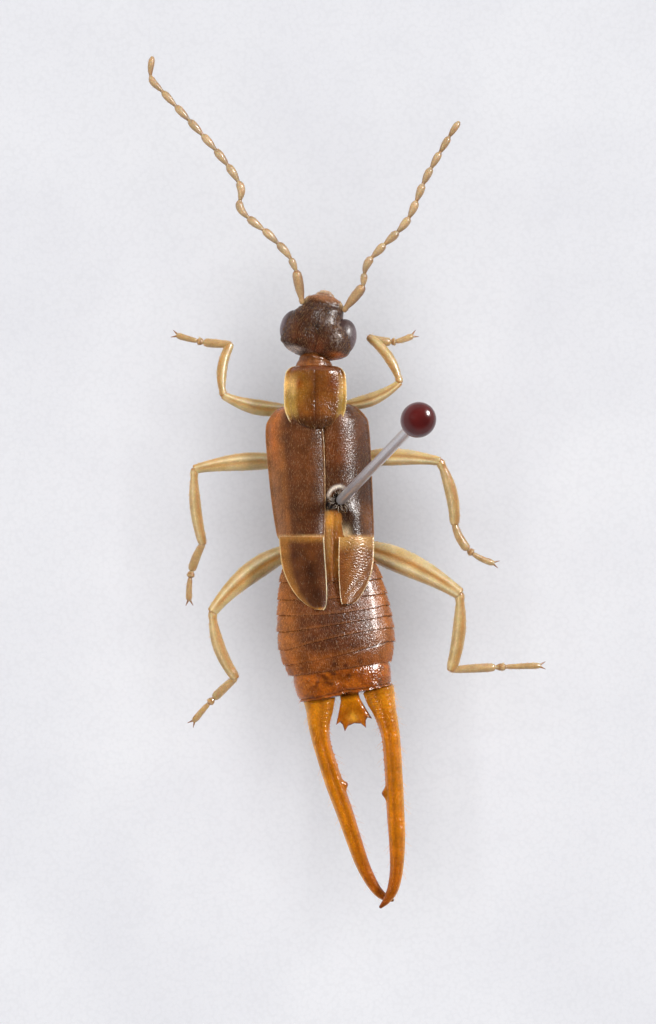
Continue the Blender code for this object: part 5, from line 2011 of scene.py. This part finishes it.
@dataclass
class Rear:
    """The toothed end plate and the two pincers.

    Attributes:
        plate_root: Where the end plate meets the last ring.
        plate_turn: How far it is turned, in degrees.
        plate_level: The height of its middle.
        plate_thickness: Its thickness at its root.
        tooth: How far the pincers' inner teeth stand out.
    """

    plate_root: tuple[float, float] = (0.84, -7.22)
    plate_turn: float = 9.8
    plate_level: float = -0.10
    plate_thickness: float = 0.62
    tooth: float = 0.16
    tooth_shares: dict[Side, float] = field(
        default_factory=lambda: {Side.LEFT: 0.47, Side.RIGHT: 0.50}
    )
    plate_outline: tuple[tuple[float, float], ...] = (
        (0.38, 0.0), (0.40, 0.30), (0.50, 0.58), (0.60, 0.84), (0.74, 1.20), (0.56, 1.12),
        (0.48, 1.22), (0.43, 1.52), (0.26, 1.32), (0.0, 1.26),
    )
    rows: dict[Side, tuple[Row, ...]] = field(default_factory=lambda: {
        Side.LEFT: (
            (-0.36, -7.46, 0.00, 0.66, 0.44, 0.44), (-0.34, -7.90, 0.00, 0.56, 0.42, 0.42),
            (-0.36, -8.40, 0.00, 0.46, 0.40, 0.40), (-0.31, -8.92, 0.00, 0.39, 0.38, 0.38),
            (-0.20, -9.44, 0.00, 0.36, 0.36, 0.36), (0.24, -10.84, -0.02, 0.36, 0.34, 0.34),
            (0.66, -12.00, -0.06, 0.34, 0.32, 0.32), (1.06, -13.20, -0.14, 0.31, 0.29, 0.29),
            (1.44, -14.24, -0.24, 0.27, 0.25, 0.25), (1.90, -15.08, -0.32, 0.21, 0.19, 0.19),
            (2.28, -15.44, -0.34, 0.15, 0.13, 0.13), (2.62, -15.56, -0.30, 0.06, 0.06, 0.06),
        ),
        Side.RIGHT: (
            (2.02, -7.12, 0.00, 0.64, 0.44, 0.44), (2.12, -7.50, 0.00, 0.58, 0.42, 0.42),
            (2.26, -7.94, 0.00, 0.48, 0.40, 0.40), (2.40, -8.44, 0.00, 0.42, 0.38, 0.38),
            (2.53, -9.12, 0.00, 0.37, 0.36, 0.36), (2.63, -10.52, 0.02, 0.36, 0.34, 0.34),
            (2.70, -11.92, 0.06, 0.36, 0.32, 0.32), (2.76, -13.12, 0.14, 0.33, 0.29, 0.29),
            (2.74, -14.24, 0.22, 0.27, 0.24, 0.24), (2.60, -15.02, 0.26, 0.23, 0.19, 0.19),
            (2.36, -15.48, 0.26, 0.16, 0.13, 0.13), (2.08, -15.80, 0.22, 0.06, 0.06, 0.06),
        ),
    })

    def end_plate(self) -> bpy.types.Mesh:
        """Makes the end plate, a rounded slab with two spines on each side of its rear.

        Returns:
            Its mesh.
        """
        half = np.array(self.plate_outline)
        outline = np.vstack([half, (half[:-1] * (-1, 1))[::-1]])
        fine = []
        for a, b in zip(outline, np.roll(outline, -1, axis=0)):
            fine += [a + (b - a) * share for share in np.linspace(0, 1, 10, endpoint=False)]
        edge = np.array(fine)
        centre = np.array((0.0, 0.62))
        grid = []
        levels = [(math.cos(a), math.sin(a)) for a in np.linspace(math.pi / 2, -math.pi / 2, 25)]
        for shrink, level in levels:
            full = max(shrink, 0.0) ** 0.35
            spots = centre + (edge - centre) * full
            v = np.clip(spots[:, 1], 0, 1.6)
            tall = self.plate_thickness * (1 - 0.32 * v) * 0.5
            level_sign = math.copysign(abs(level) ** 0.8, level)
            dish = -0.10 * bump_at(spots[:, 0], 0.0, 0.22) * bump_at(spots[:, 1], 0.8, 0.4)
            height = self.plate_level + level_sign * tall + (dish if level > 0 else 0.0)
            grid.append(np.column_stack([spots, height]))
        points = np.array(grid)
        turn = math.radians(self.plate_turn)
        x0, y0 = self.plate_root
        u, v = points[..., 0].copy(), points[..., 1].copy()
        points[..., 0] = x0 + u * math.cos(turn) + v * math.sin(turn)
        points[..., 1] = y0 + u * math.sin(turn) - v * math.cos(turn)
        skin = Skin(points[1:-1], (points[0].mean(axis=0), points[-1].mean(axis=0)))

        def paint(place: Place) -> Array:
            """Gives the colour at each place."""
            dx, dy = place.x - x0, place.y - y0
            across = dx * math.cos(turn) + dy * math.sin(turn)
            back = dx * math.sin(turn) - dy * math.cos(turn)
            colour = blend(tone(196, 118, 10), tone(164, 90, 8), ramp(back, 0.3, 0.8))
            colour = over(colour, 226, 164, 50,
                    0.7 * bump_at(across, 0.0, 0.2) * bump_at(back, 1.0, 0.2))
            colour = over(colour, 120, 60, 16, 0.7 * ramp(back, 0.22, 0.02))
            rim = ramp(np.abs(place.along - 0.5), 0.34, 0.08)
            dark = rim * ramp(back, 0.75, 1.05)
            return over(colour, 96, 44, 14, 0.8 * dark)

        return skin.mesh("earwig_end_plate", paint, even(0.1))

    def pincer(self, side: Side) -> bpy.types.Mesh:
        """Makes one pincer with its inner flange, base knobs and small tooth.

        Args:
            side: Which pincer.

        Returns:
            Its mesh.
        """
        rows = self.rows[side]
        inward = -side.value

        def relief(across: Array, along: Array) -> Array:
            """Gives how far the skin stands out at each place."""
            around = across * 2 * math.pi
            towards = -np.cos(around) * inward
            upper = ramp(np.sin(around), 0.1, 0.6)
            ridge = 0.035 * bump_at(towards, 0.55, 0.2) * upper * ramp(along, 0.75, 0.5)
            trough = -0.035 * bump_at(towards, 0.12, 0.2) * upper * ramp(along, 0.7, 0.4)
            knobs = np.maximum(np.sin(along * 190 + 3 * np.sin(around * 2)), 0) ** 4
            crest = 0.035 * knobs * bump_at(towards, 0.4, 0.25) * upper * ramp(along, 0.36, 0.1)
            point = self.tooth * bump_at(along, self.tooth_shares[side], 0.012)
            tooth = point * ramp(towards, 0.80, 0.99)
            nick = 0.03 * np.maximum(np.sin(along * 260), 0) ** 6 * ramp(towards, 0.85, 0.98)
            return ridge + trough + crest + tooth + nick * ramp(along, 0.15, 0.25) * ramp(along,
                    0.5, 0.4)

        def paint(place: Place) -> Array:
            """Gives the colour at each place."""
            towards = -np.cos(place.across * 2 * math.pi) * inward
            t = place.along
            colour = blend(tone(200, 126, 16), tone(194, 116, 8), ramp(t, 0.06, 0.35))
            colour = over(colour, 160, 84, 8, ramp(t, 0.58, 0.80))
            colour = over(colour, 132, 62, 16, ramp(t, 0.84, 0.97))
            colour = over(colour, 90, 40, 18, ramp(t, 0.95, 1.0))
            shade = 0.5 + 0.5 * ripple(place.x * 2, place.y, 0.8, 3.0)
            colour = over(colour, 160, 84, 20, 0.4 * shade)
            # Painted highlight: a pale rim light along the outer side.
            colour = over(colour, 236, 176, 80, 0.5 * ramp(towards, -0.55, -0.95))
            colour = over(colour, 118, 54, 16, 0.45 * bump_at(towards, 0.15, 0.2))
            tooth = bump_at(t, self.tooth_shares[side], 0.008) * ramp(towards, 0.8, 0.99)
            return over(colour, 112, 48, 14, 0.8 * tooth)

        loft = Loft(rows, rings=420, sides=84, power=2.3, dome=0.4, relief=relief)
        return loft.skin().mesh(f"earwig_pincer_{side.label}", paint, even(0.15))

    def build(self) -> dict[str, Piece]:
        """Makes the end plate and the pincers.

        Returns:
            The pieces that carry down, by name.
        """
        finish = Cuticle(
            "pincer cuticle", roughness=0.22, coat=0.25, scatter=0.35, scatter_reach=0.20, pit=0.16,
            pit_depth=0.25, grain=0.05, grain_depth=0.3, down=0.03, mottle=0.25,
            stretch=(1.0, 0.25, 1.0),
        ).material()
        show(self.end_plate(), finish, Slot.PINCER, "end_plate")
        made = {}
        for side in Side:
            made[f"pincer_{side.label}"] = show(
                self.pincer(side), finish, Slot.PINCER, f"pincer_{side.label}"
            )
        return made


class LegPlan(NamedTuple):
    """One leg's turning points, its bows to the outer side, and its widths."""

    root: Point
    hip: Point
    knee: Point
    ankle: Point
    toe: Point
    bows: Point
    thigh_width: float
    shin_width: float


@dataclass
class Leg:
    """One leg: hip, thigh, shin and a foot of three joints with two hooked claws.

    Attributes:
        label: The leg's name, as the nodes spell it.
        plan: Its path and widths.
        foot_width: The foot's width.
        claw_reach: A claw's length.
    """

    label: str
    plan: LegPlan
    foot_width: float = 0.36
    claw_reach: float = 0.22

    def arc(self, start: Point, end: Point, bow: float, shares: Array) -> Array:
        """Gives points on an arc that stands out sideways by its bow."""
        a, b = np.array(start), np.array(end)
        side = np.cross(b - a, UP)
        side /= np.linalg.norm(side)
        line = a + (b - a) * shares[:, None]
        return line + side * (bow * 4 * shares * (1 - shares))[:, None]

    def rows(
        self, start: Point, end: Point, bow: float, profile: tuple[Row, ...], width: float,
        flatness: float,
    ) -> tuple[Row, ...]:
        """Makes the rows of a limb along an arc.

        Args:
            start: Where the limb starts.
            end: Where it ends.
            bow: How far it bows sideways.
            profile: Pairs of a share along and the share of the full width there.
            width: The full width.
            flatness: The limb's height as a share of its width.

        Returns:
            The rows of a loft.
        """
        shares = np.array([share for share, _ in profile])
        spots = self.arc(start, end, bow, shares)
        return tuple(
            (*spot, width * full / 2, width * full / 2 * flatness, width * full / 2 * flatness)
            for spot, (_, full) in zip(spots, profile)
        )

    def thigh(self) -> bpy.types.Mesh:
        """Makes the swollen thigh, pale and clear with two orange bands along it.

        Returns:
            Its mesh.
        """
        hip, knee = np.array(self.plan.hip), np.array(self.plan.knee)
        out = (knee - hip) / np.linalg.norm(knee - hip)
        profile = (
            (0.0, 0.55), (0.08, 0.66), (0.18, 0.84), (0.34, 1.0), (0.52, 0.98), (0.70, 0.82),
            (0.84, 0.66), (0.94, 0.56), (1.0, 0.50),
        )
        rows = self.rows(
            tuple(hip + out * 0.16), self.plan.knee, self.plan.bows[0], profile,
            self.plan.thigh_width, 0.72,
        )

        def relief(across: Array, along: Array) -> Array:
            """Gives how far the skin stands out at each place."""
            lateral = np.cos(across * 2 * math.pi)
            upper = ramp(np.sin(across * 2 * math.pi), 0.1, 0.6)
            keel = 0.02 * bump_at(lateral, 0.35, 0.2) * upper * ramp(along, 0.95, 0.6)
            return keel - 0.03 * bump_at(lateral, -0.05, 0.2) * upper * bump_at(along, 0.45, 0.3)

        def paint(place: Place) -> Array:
            """Gives the colour at each place."""
            lateral = np.cos(place.across * 2 * math.pi)
            upper = ramp(np.sin(place.across * 2 * math.pi), -0.2, 0.2)
            t = place.along
            shade = 0.5 + 0.5 * ripple(place.x, place.y, 0.5, 2.0)
            colour = blend(tone(202, 180, 134), tone(184, 156, 104), shade)
            dark = tone(170, 114, 52)
            hind = 1.0 if self.label.startswith("hind") else 0.75
            strip = bump_at(lateral, -0.12, 0.24) * ramp(t, 0.06, 0.22) * ramp(t, 1.0, 0.72)
            colour = blend(colour, dark, 0.85 * hind * strip * upper)
            second = bump_at(lateral, 0.78, 0.14) * ramp(t, 0.2, 0.4)
            colour = over(colour, 178, 124, 58, 0.5 * second)
            # Painted highlight: a pale streak along the upper side.
            colour = over(colour, 222, 208, 172, 0.7 * bump_at(lateral, 0.36, 0.14) * upper)
            return over(colour, 150, 96, 44,
                    0.6 * np.maximum(ramp(t, 0.94, 1.0), ramp(t, 0.06, 0.0)))

        loft = Loft(rows, rings=130, sides=52, dome=0.5, relief=relief)
        return loft.skin().mesh(f"earwig_{self.label}_thigh", paint, even(0.5))

    def shin(self) -> bpy.types.Mesh:
        """Makes the shin, narrow at the knee, with a dark cuff at each end.

        Returns:
            Its mesh.
        """
        profile = (
            (0.0, 0.62), (0.05, 0.74), (0.12, 0.66), (0.25, 0.84), (0.45, 1.0), (0.65, 0.98),
            (0.82, 0.90), (0.94, 0.84), (1.0, 0.66),
        )
        rows = self.rows(
            self.plan.knee, self.plan.ankle, self.plan.bows[1], profile, self.plan.shin_width, 0.85
        )

        def paint(place: Place) -> Array:
            """Gives the colour at each place."""
            lateral = np.cos(place.across * 2 * math.pi)
            t = place.along
            shade = 0.5 + 0.5 * ripple(place.x, place.y, 0.4, 5.0)
            colour = blend(tone(196, 170, 120), tone(176, 144, 94), shade)
            colour = over(colour, 174, 114, 50, 0.6 * bump_at(lateral, -0.5, 0.3))
            # Painted highlight: a pale streak along the shin near its top.
            colour = over(colour, 216, 198, 158, 0.6 * bump_at(lateral, 0.3, 0.2))
            return over(colour, 148, 92, 40,
                    0.7 * np.maximum(ramp(t, 0.10, 0.02), ramp(t, 0.93, 1.0)))

        loft = Loft(rows, rings=110, sides=36, dome=0.5)
        return loft.skin().mesh(f"earwig_{self.label}_shin", paint, even(0.8))

    def foot(self) -> bpy.types.Mesh:
        """Makes the foot: a long joint, a tiny one, a slim one and two hooked claws.

        Returns:
            Its mesh.
        """
        profile = (
            (0.00, 0.60), (0.05, 0.78), (0.20, 0.94), (0.38, 1.00), (0.47, 0.86), (0.50, 0.46),
            (0.54, 0.78), (0.59, 0.84), (0.62, 0.44), (0.66, 0.56), (0.80, 0.66), (0.94, 0.72),
            (1.00, 0.50),
        )
        rows = self.rows(
            self.plan.ankle, self.plan.toe, self.plan.bows[2], profile, self.foot_width, 0.9
        )

        def paint(place: Place) -> Array:
            """Gives the colour at each place."""
            t = place.along
            colour = blend(tone(188, 160, 116), tone(166, 132, 88),
                    0.5 + 0.5 * ripple(place.x, place.y, 0.3))
            joints = np.maximum(bump_at(t, 0.50, 0.03), bump_at(t, 0.62, 0.03))
            return over(colour, 126, 76, 34, 0.6 * joints)

        def claw_paint(place: Place) -> Array:
            """Gives the claw's colour at each place."""
            return blend(tone(164, 120, 70), tone(112, 66, 34), place.along)

        meshes = [
            Loft(rows, rings=120, sides=26, dome=0.5).skin().mesh(
                f"earwig_{self.label}_foot", paint, even(0.8)
            )
        ]
        toe = np.array(rows[-1][:3])
        ahead = toe - np.array(rows[-2][:3])
        ahead /= np.linalg.norm(ahead)
        side = np.cross(ahead, UP)
        for sign in (-1, 1):
            claw = []
            for share in np.linspace(-0.35, 1.0, 10):
                push = max(share, 0.0)
                spot = toe + ahead * self.claw_reach * share
                spot = spot + side * sign * (0.04 + 0.11 * push) - UP * 0.13 * push ** 2
                radius = 0.045 * (1 - 0.78 * push)
                claw.append((*spot, radius, radius, radius))
            loft = Loft(tuple(claw), rings=22, sides=12)
            meshes.append(loft.skin().mesh("claw", claw_paint))
        return joined(f"earwig_{self.label}_foot", meshes)

    def hip(self) -> bpy.types.Mesh:
        """Makes the hip with the small ring that joins it to the thigh."""
        root, hip = np.array(self.plan.root), np.array(self.plan.hip)
        profile = (
            (0.0, 0.42, 0.34), (0.3, 0.41, 0.35), (0.6, 0.37, 0.34), (0.78, 0.28, 0.27),
            (0.86, 0.23, 0.22), (0.94, 0.27, 0.27), (1.0, 0.26, 0.26),
        )
        rows = tuple((*(root + (hip - root) * share), half, tall, tall) for share, half,
                tall in profile)

        def paint(place: Place) -> Array:
            """Gives the colour at each place."""
            shade = 0.5 + 0.5 * ripple(place.x, place.y, 0.4, 1.0)
            colour = blend(tone(206, 164, 100), tone(170, 116, 58), shade)
            return over(colour, 120, 70, 32, 0.7 * bump_at(place.along, 0.78, 0.07))

        return Loft(rows, rings=60, sides=40).skin().mesh(f"earwig_{self.label}_hip", paint)

    def build(self, finish: bpy.types.Material) -> dict[str, Piece]:
        """Makes the leg's four pieces.

        Args:
            finish: The legs' material.

        Returns:
            The pieces that carry down, by name.
        """
        made = {}
        for part in (self.hip, self.thigh, self.shin, self.foot):
            name = part.__name__
            piece = show(part(), finish, Slot.LEG, f"leg_{self.label}_{name}")
            if part != self.hip:
                made[f"{self.label}_{name}"] = piece
        return made


LEG_PLANS: dict[str, LegPlan] = {
    "front_left": LegPlan(
        (-0.95, 4.36, -1.00), (-1.44, 4.14, -1.16), (-4.20, 4.68, -0.62), (-3.92, 6.76, -0.98),
        (-6.08, 7.12, -1.20), (-0.20, -0.20, -0.10), 0.63, 0.42,
    ),
    "front_right": LegPlan(
        (-0.07, 4.42, -1.00), (0.42, 4.26, -1.16), (2.88, 5.20, -0.62), (1.64, 7.04, -0.98),
        (3.40, 7.10, -1.20), (0.22, 0.20, 0.22), 0.54, 0.42,
    ),
    "middle_left": LegPlan(
        (-0.90, 2.10, -1.16), (-1.44, 2.02, -1.24), (-5.36, 1.72, -0.66), (-5.04, -1.28, -1.14),
        (-5.60, -3.56, -1.40), (0.15, 0.13, 0.18), 0.72, 0.46,
    ),
    "middle_right": LegPlan(
        (0.26, 2.12, -1.16), (0.84, 2.08, -1.24), (4.48, 2.04, -0.66), (5.10, -0.48, -1.14),
        (6.68, -2.06, -1.40), (-0.16, -0.16, 0.34), 0.70, 0.50,
    ),
    "hind_left": LegPlan(
        (-0.72, -1.00, -1.18), (-1.14, -1.36, -1.28), (-4.64, -4.00, -0.72), (-3.72, -6.68, -1.22),
        (-5.42, -8.44, -1.50), (0.32, 0.22, 0.06), 0.87, 0.50,
    ),
    "hind_right": LegPlan(
        (0.50, -1.00, -1.18), (0.94, -1.30, -1.28), (5.28, -3.28, -0.72), (4.96, -6.36, -1.22),
        (8.56, -6.20, -1.50), (-0.22, -0.15, -0.02), 1.00, 0.54,
    ),
}


@dataclass
class Stand:
    """The foam board, the steel pin and the bead on top of the pin.

    Attributes:
        entry: Where the pin meets the wing case.
        lean: How far the pin leans right and forwards for each millimetre of height.
        above: How far the steel stands over the wing case.
        bead_width: The bead's width.
        bead_length: The bead's height.
        gap: The space between the steel and the bead's solid.
    """

    entry: Point = (0.54, 0.50, 0.95)
    lean: tuple[float, float] = (0.211, 0.219)
    above: float = 12.5
    bead_width: float = 1.30
    bead_length: float = 1.00
    gap: float = 0.15

    def axis(self, height: float) -> Point:
        """Gives the pin's axis at a height over the body's middle."""
        rise = height - self.entry[2]
        return (self.entry[0] + self.lean[0] * rise, self.entry[1] + self.lean[1] * rise, height)

    def bead(self) -> bpy.types.Mesh:
        """Makes the bead with the short collar that grips the pin.

        Returns:
            Its mesh.
        """
        top = self.entry[2] + self.above
        half = self.bead_width / 2
        start = top - 0.30
        profile = (
            (start, 0.235), (start + 0.08, 0.27), (top + 0.02, 0.28), (top + 0.12, 0.36),
        )
        rows = [(*self.axis(z), r, r, r) for z, r in profile]
        middle = top + self.gap + self.bead_length / 2
        for angle in np.linspace(-0.92, 1.40, 22):
            z = middle + math.sin(angle) * self.bead_length / 2
            r = max(math.cos(angle) * half, 0.05)
            rows.append((*self.axis(z), r, r, r))
        fine = np.array(rows)
        rings = []
        around = np.linspace(0, 2 * math.pi, 72, endpoint=False)
        for x, y, z, r, *_ in fine:
            rings.append(np.column_stack([
                x + r * np.cos(around), y + r * np.sin(around), np.full_like(around, z)
            ]))
        skin = Skin(np.array(rings), (fine[0, :3], fine[-1, :3] + (0, 0, 0.004)))
        return skin.mesh("pin_bead",
                lambda place: blend(tone(80, 24, 22), BLACK_BROWN, 0 * place.x))

    def build(self) -> None:
        """Finishes the board and the pin, and makes the bead."""
        show(self.bead(), BeadFinish().material(), Slot.BEAD, "stand_pin_head")
        for node, finish in (("stand_board", FoamFinish()), ("stand_pin", SteelFinish())):
            slots = frame["nodes"][node].data.materials
            made = finish.material()
            if len(slots):
                for i in range(len(slots)):
                    slots[i] = made
            else:
                slots.append(made)


@dataclass
class Wound:
    """The torn fibres where the pin goes in.

    Attributes:
        centre: Where the pin goes in.
        count: How many fibres there are.
        reach: How far they spread.
        seed: What their forms are drawn from.
    """

    centre: Point = (0.47, 0.48, 0.84)
    count: int = 46
    reach: float = 0.36
    seed: int = 7

    def build(self) -> None:
        """Makes the fibres as one piece."""
        chance = np.random.default_rng(self.seed)
        meshes = []
        for angle in chance.uniform(0, 2 * math.pi, self.count):
            out = np.array((math.cos(angle), math.sin(angle), 0.0))
            curl = np.cross(out, UP) * chance.uniform(-0.14, 0.14)
            start = np.array(self.centre) + out * chance.uniform(0.10, 0.24)
            reach = self.reach * chance.uniform(0.4, 1.0)
            rows = []
            for share in np.linspace(0, 1, 5):
                spot = start + out * reach * share + curl * math.sin(share * 3)
                spot = spot + UP * (0.16 * math.sin(share * 2.6) - 0.02)
                radius = 0.011 * (1 - 0.7 * share)
                rows.append((*spot, radius, radius, radius))
            light = chance.uniform(0.0, 1.0)
            colour = np.array(tone(214, 204, 192)) * light + np.array(tone(70, 52,
                    42)) * (1 - light)
            skin = Loft(tuple(rows), rings=9, sides=6).skin()
            meshes.append(skin.mesh("fibre", lambda place, c=colour: np.tile(c, (len(place.x), 1))))
        finish = HairFinish("torn fibre", gain=1.0, least=0.0, most=0.2).material()
        show(joined("earwig_wound_fibres", meshes), finish, Slot.CASE)


@dataclass
class Coat:
    """All the down and bristles of the insect, piece by piece."""

    plans: tuple[tuple[str, Slot, Down], ...] = (
        ("skull", Slot.HEAD, Down(0.15, 0.013, 260, 0.28, 0.30, 1)),
        ("lip", Slot.MOUTH, Down(0.16, 0.012, 60, 0.6, 0.3, 2)),
        ("neck", Slot.HEAD, Down(0.10, 0.010, 30, 0.4, 0.3, 3)),
        ("shield", Slot.THORAX, Down(0.16, 0.012, 80, 0.30, 0.30, 4)),
        ("case_left", Slot.CASE, Down(0.12, 0.011, 260, 0.18, 0.22, 5)),
        ("case_right", Slot.CASE, Down(0.12, 0.011, 260, 0.18, 0.22, 6)),
        ("tip_left", Slot.MEMBRANE, Down(0.09, 0.010, 130, 0.18, 0.25, 7)),
        ("tip_right", Slot.MEMBRANE, Down(0.09, 0.010, 100, 0.18, 0.25, 8)),
        ("abdomen", Slot.ABDOMEN, Down(0.13, 0.011, 170, 0.22, 0.25, 9)),
        ("last_ring", Slot.ABDOMEN, Down(0.20, 0.012, 50, 0.50, 0.40, 10)),
        ("pincer_left", Slot.PINCER, Down(0.42, 0.010, 60, 0.85, 0.45, 11)),
        ("pincer_right", Slot.PINCER, Down(0.42, 0.010, 60, 0.85, 0.45, 12)),
    )
    limb: Down = Down(0.15, 0.010, 70, 0.50, 0.40, 20)
    feeler: Down = Down(0.10, 0.010, 70, 0.55, 0.40, 21)

    def build(self, skins: dict[str, Piece]) -> None:
        """Grows the down.

        Args:
            skins: The pieces that carry it, by name.
        """
        pale = HairFinish().material()
        planned = {name for name, _, _ in self.plans}
        for name, slot, down in self.plans:
            down.grow(skins[name], pale, slot)
        for name, skin in skins.items():
            if name in planned:
                continue
            is_feeler = name.startswith(("scape", "beads"))
            down = self.feeler if is_feeler else self.limb
            down.grow(skin, pale, Slot.FEELER if is_feeler else Slot.LEG)


@dataclass
class Studio:
    """The floor, the lights and the camera.

    Attributes:
        lens: The camera's lens, in millimetres.
        sensor: Its sensor's longer side.
        view_length: How much of the body's plane the frame takes in, from top to bottom.
    """

    lens: float = 150.0
    sensor: float = 36.0
    view_length: float = 40.96

    def floor(self) -> None:
        """Lays a pale sheet under the board."""
        bpy.ops.mesh.primitive_grid_add(x_subdivisions=24, y_subdivisions=24, size=0.6)
        sheet = bpy.context.object
        sheet.name = "studio_floor"
        graph = Graph("studio paper")
        cloud = graph.noise(12.0, 4.0)
        colour = graph.mix(cloud, tone(228, 228, 232), tone(234, 234, 238))
        graph.link(colour, graph.shader.inputs["Base Color"])
        graph.link(graph.bump(graph.noise(0.4, 4.0), 0.02, 0.2), graph.shader.inputs["Normal"])
        graph.constants(Roughness=0.9)
        sheet.data.materials.append(graph.material)

    def softbox(
        self, name: str, place: Point, size: float, power: float, warmth: Colour,
        lit: bpy.types.Collection, glints: bool = False, washes: bool = True,
    ) -> None:
        """Hangs a square soft light that faces the body.

        Args:
            name: The light's name.
            place: Where it hangs, in metres.
            size: Its side, in metres.
            power: Its power, in watts.
            warmth: Its colour.
            lit: The objects that it lights.
            glints: Whether it also shows as a reflection, which a polarised lamp doesn't.
            washes: Whether it also lights matt surfaces.
        """
        data = bpy.data.lights.new(name, "AREA")
        data.shape = "SQUARE"
        data.size = size
        data.energy = power
        data.color = warmth
        lamp = bpy.data.objects.new(name, data)
        bpy.context.scene.collection.objects.link(lamp)
        lamp.location = place
        aim = Vector((0, 0, BODY_HEIGHT * MM)) - Vector(place)
        lamp.rotation_euler = aim.to_track_quat("-Z", "Y").to_euler()
        lamp.light_linking.receiver_collection = lit
        lamp.visible_glossy = glints
        lamp.visible_diffuse = washes

    def world(self, strength: float, zenith: float) -> None:
        """Surrounds the scene with a pale tent that is darker overhead, where the camera is.

        Args:
            strength: The tent's brightness.
            zenith: The share of it that is left straight overhead.
        """
        world = bpy.data.worlds.new("studio tent")
        world.use_nodes = True
        nodes = world.node_tree.nodes
        link = world.node_tree.links.new
        shader = nodes["Background"]
        shader.inputs["Strength"].default_value = strength
        place = nodes.new("ShaderNodeTexCoord")
        parts = nodes.new("ShaderNodeSeparateXYZ")
        link(place.outputs["Generated"], parts.inputs["Vector"])
        fall = nodes.new("ShaderNodeMapRange")
        fall.interpolation_type = "SMOOTHSTEP"
        for name, value in (("From Min", 0.72), ("From Max", 0.30), ("To Min", zenith),
                ("To Max", 1.0)):
            fall.inputs[name].default_value = value
        link(parts.outputs["Z"], fall.inputs["Value"])
        tint = nodes.new("ShaderNodeVectorMath")
        tint.operation = "SCALE"
        tint.inputs[0].default_value = (0.97, 0.98, 1.0)
        link(fall.outputs["Result"], tint.inputs["Scale"])
        link(tint.outputs["Vector"], shader.inputs["Color"])
        bpy.context.scene.world = world

    def camera(self) -> None:
        """Sets the camera straight over the body."""
        data = bpy.data.cameras.new("camera")
        data.lens = self.lens
        data.sensor_fit = "VERTICAL"
        data.sensor_height = self.sensor
        data.clip_start = 0.002
        data.clip_end = 10
        distance = self.view_length * MM * self.lens / self.sensor
        eye = bpy.data.objects.new("camera", data)
        bpy.context.scene.collection.objects.link(eye)
        eye.location = (0, 0, BODY_HEIGHT * MM + distance)
        bpy.context.scene.camera = eye

    def groups(self) -> tuple[bpy.types.Collection, bpy.types.Collection]:
        """Sorts what the lamps light into the specimen, and the board with the floor."""
        specimen = bpy.data.collections.new("specimen")
        ground = bpy.data.collections.new("ground")
        for thing in bpy.context.scene.objects:
            if thing.type == "MESH":
                is_ground = thing.name in ("studio_floor", "stand_board")
                (ground if is_ground else specimen).objects.link(thing)
        return specimen, ground

    def build(self) -> None:
        """Sets the floor, the tent, the lamps and the camera."""
        self.floor()
        self.world(0.45, 0.04)
        specimen, ground = self.groups()
        self.softbox("ground lamp", (0.0, 0.0, 0.60), 0.50, 3.9, (0.99, 0.99, 1.0), ground)
        self.softbox("front softbox", (-0.06, 0.40, 0.36), 0.26, 0.9, (1.0, 0.99, 0.98), specimen)
        self.softbox("right lamp", (0.28, 0.14, 0.30), 0.08, 1.5, (1.0, 0.98, 0.96), specimen, True)
        self.softbox("glint lamp", (0.26, 0.18, 0.26), 0.07, 1.5, (1.0, 0.98, 0.96), specimen,
                True, False)
        self.softbox("left lamp", (-0.26, 0.02, 0.36), 0.20, 1.2, (1.0, 0.99, 0.98), specimen)
        self.camera()
        bpy.context.scene.view_settings.view_transform = "Standard"


def main() -> None:
    """Builds the specimen from its board to its feelers."""
    logging.basicConfig(level=logging.INFO, format="%(message)s")
    Stand().build()
    Wound().build()
    head = Head()
    downy = head.build()
    downy |= Feelers(head).build()
    downy |= Shield().build()
    downy |= Wings().build()
    Trunk().build()
    downy |= Abdomen().build()
    downy |= Rear().build()
    leg_finish = Cuticle(
        "leg cuticle", roughness=0.30, coat=0.45, scatter=0.55, scatter_reach=0.20, pit=0.08,
        pit_depth=0.2, grain=0.04, grain_depth=0.3, down=0.15, mottle=0.12, stretch=(1.0, 1.0, 1.0),
    ).material()
    for label, plan in LEG_PLANS.items():
        downy |= Leg(label, plan).build(leg_finish)
    Coat().build(downy)
    Studio().build()
    LOG.info("camera and lights set")


if __name__ == "__main__":
    main()
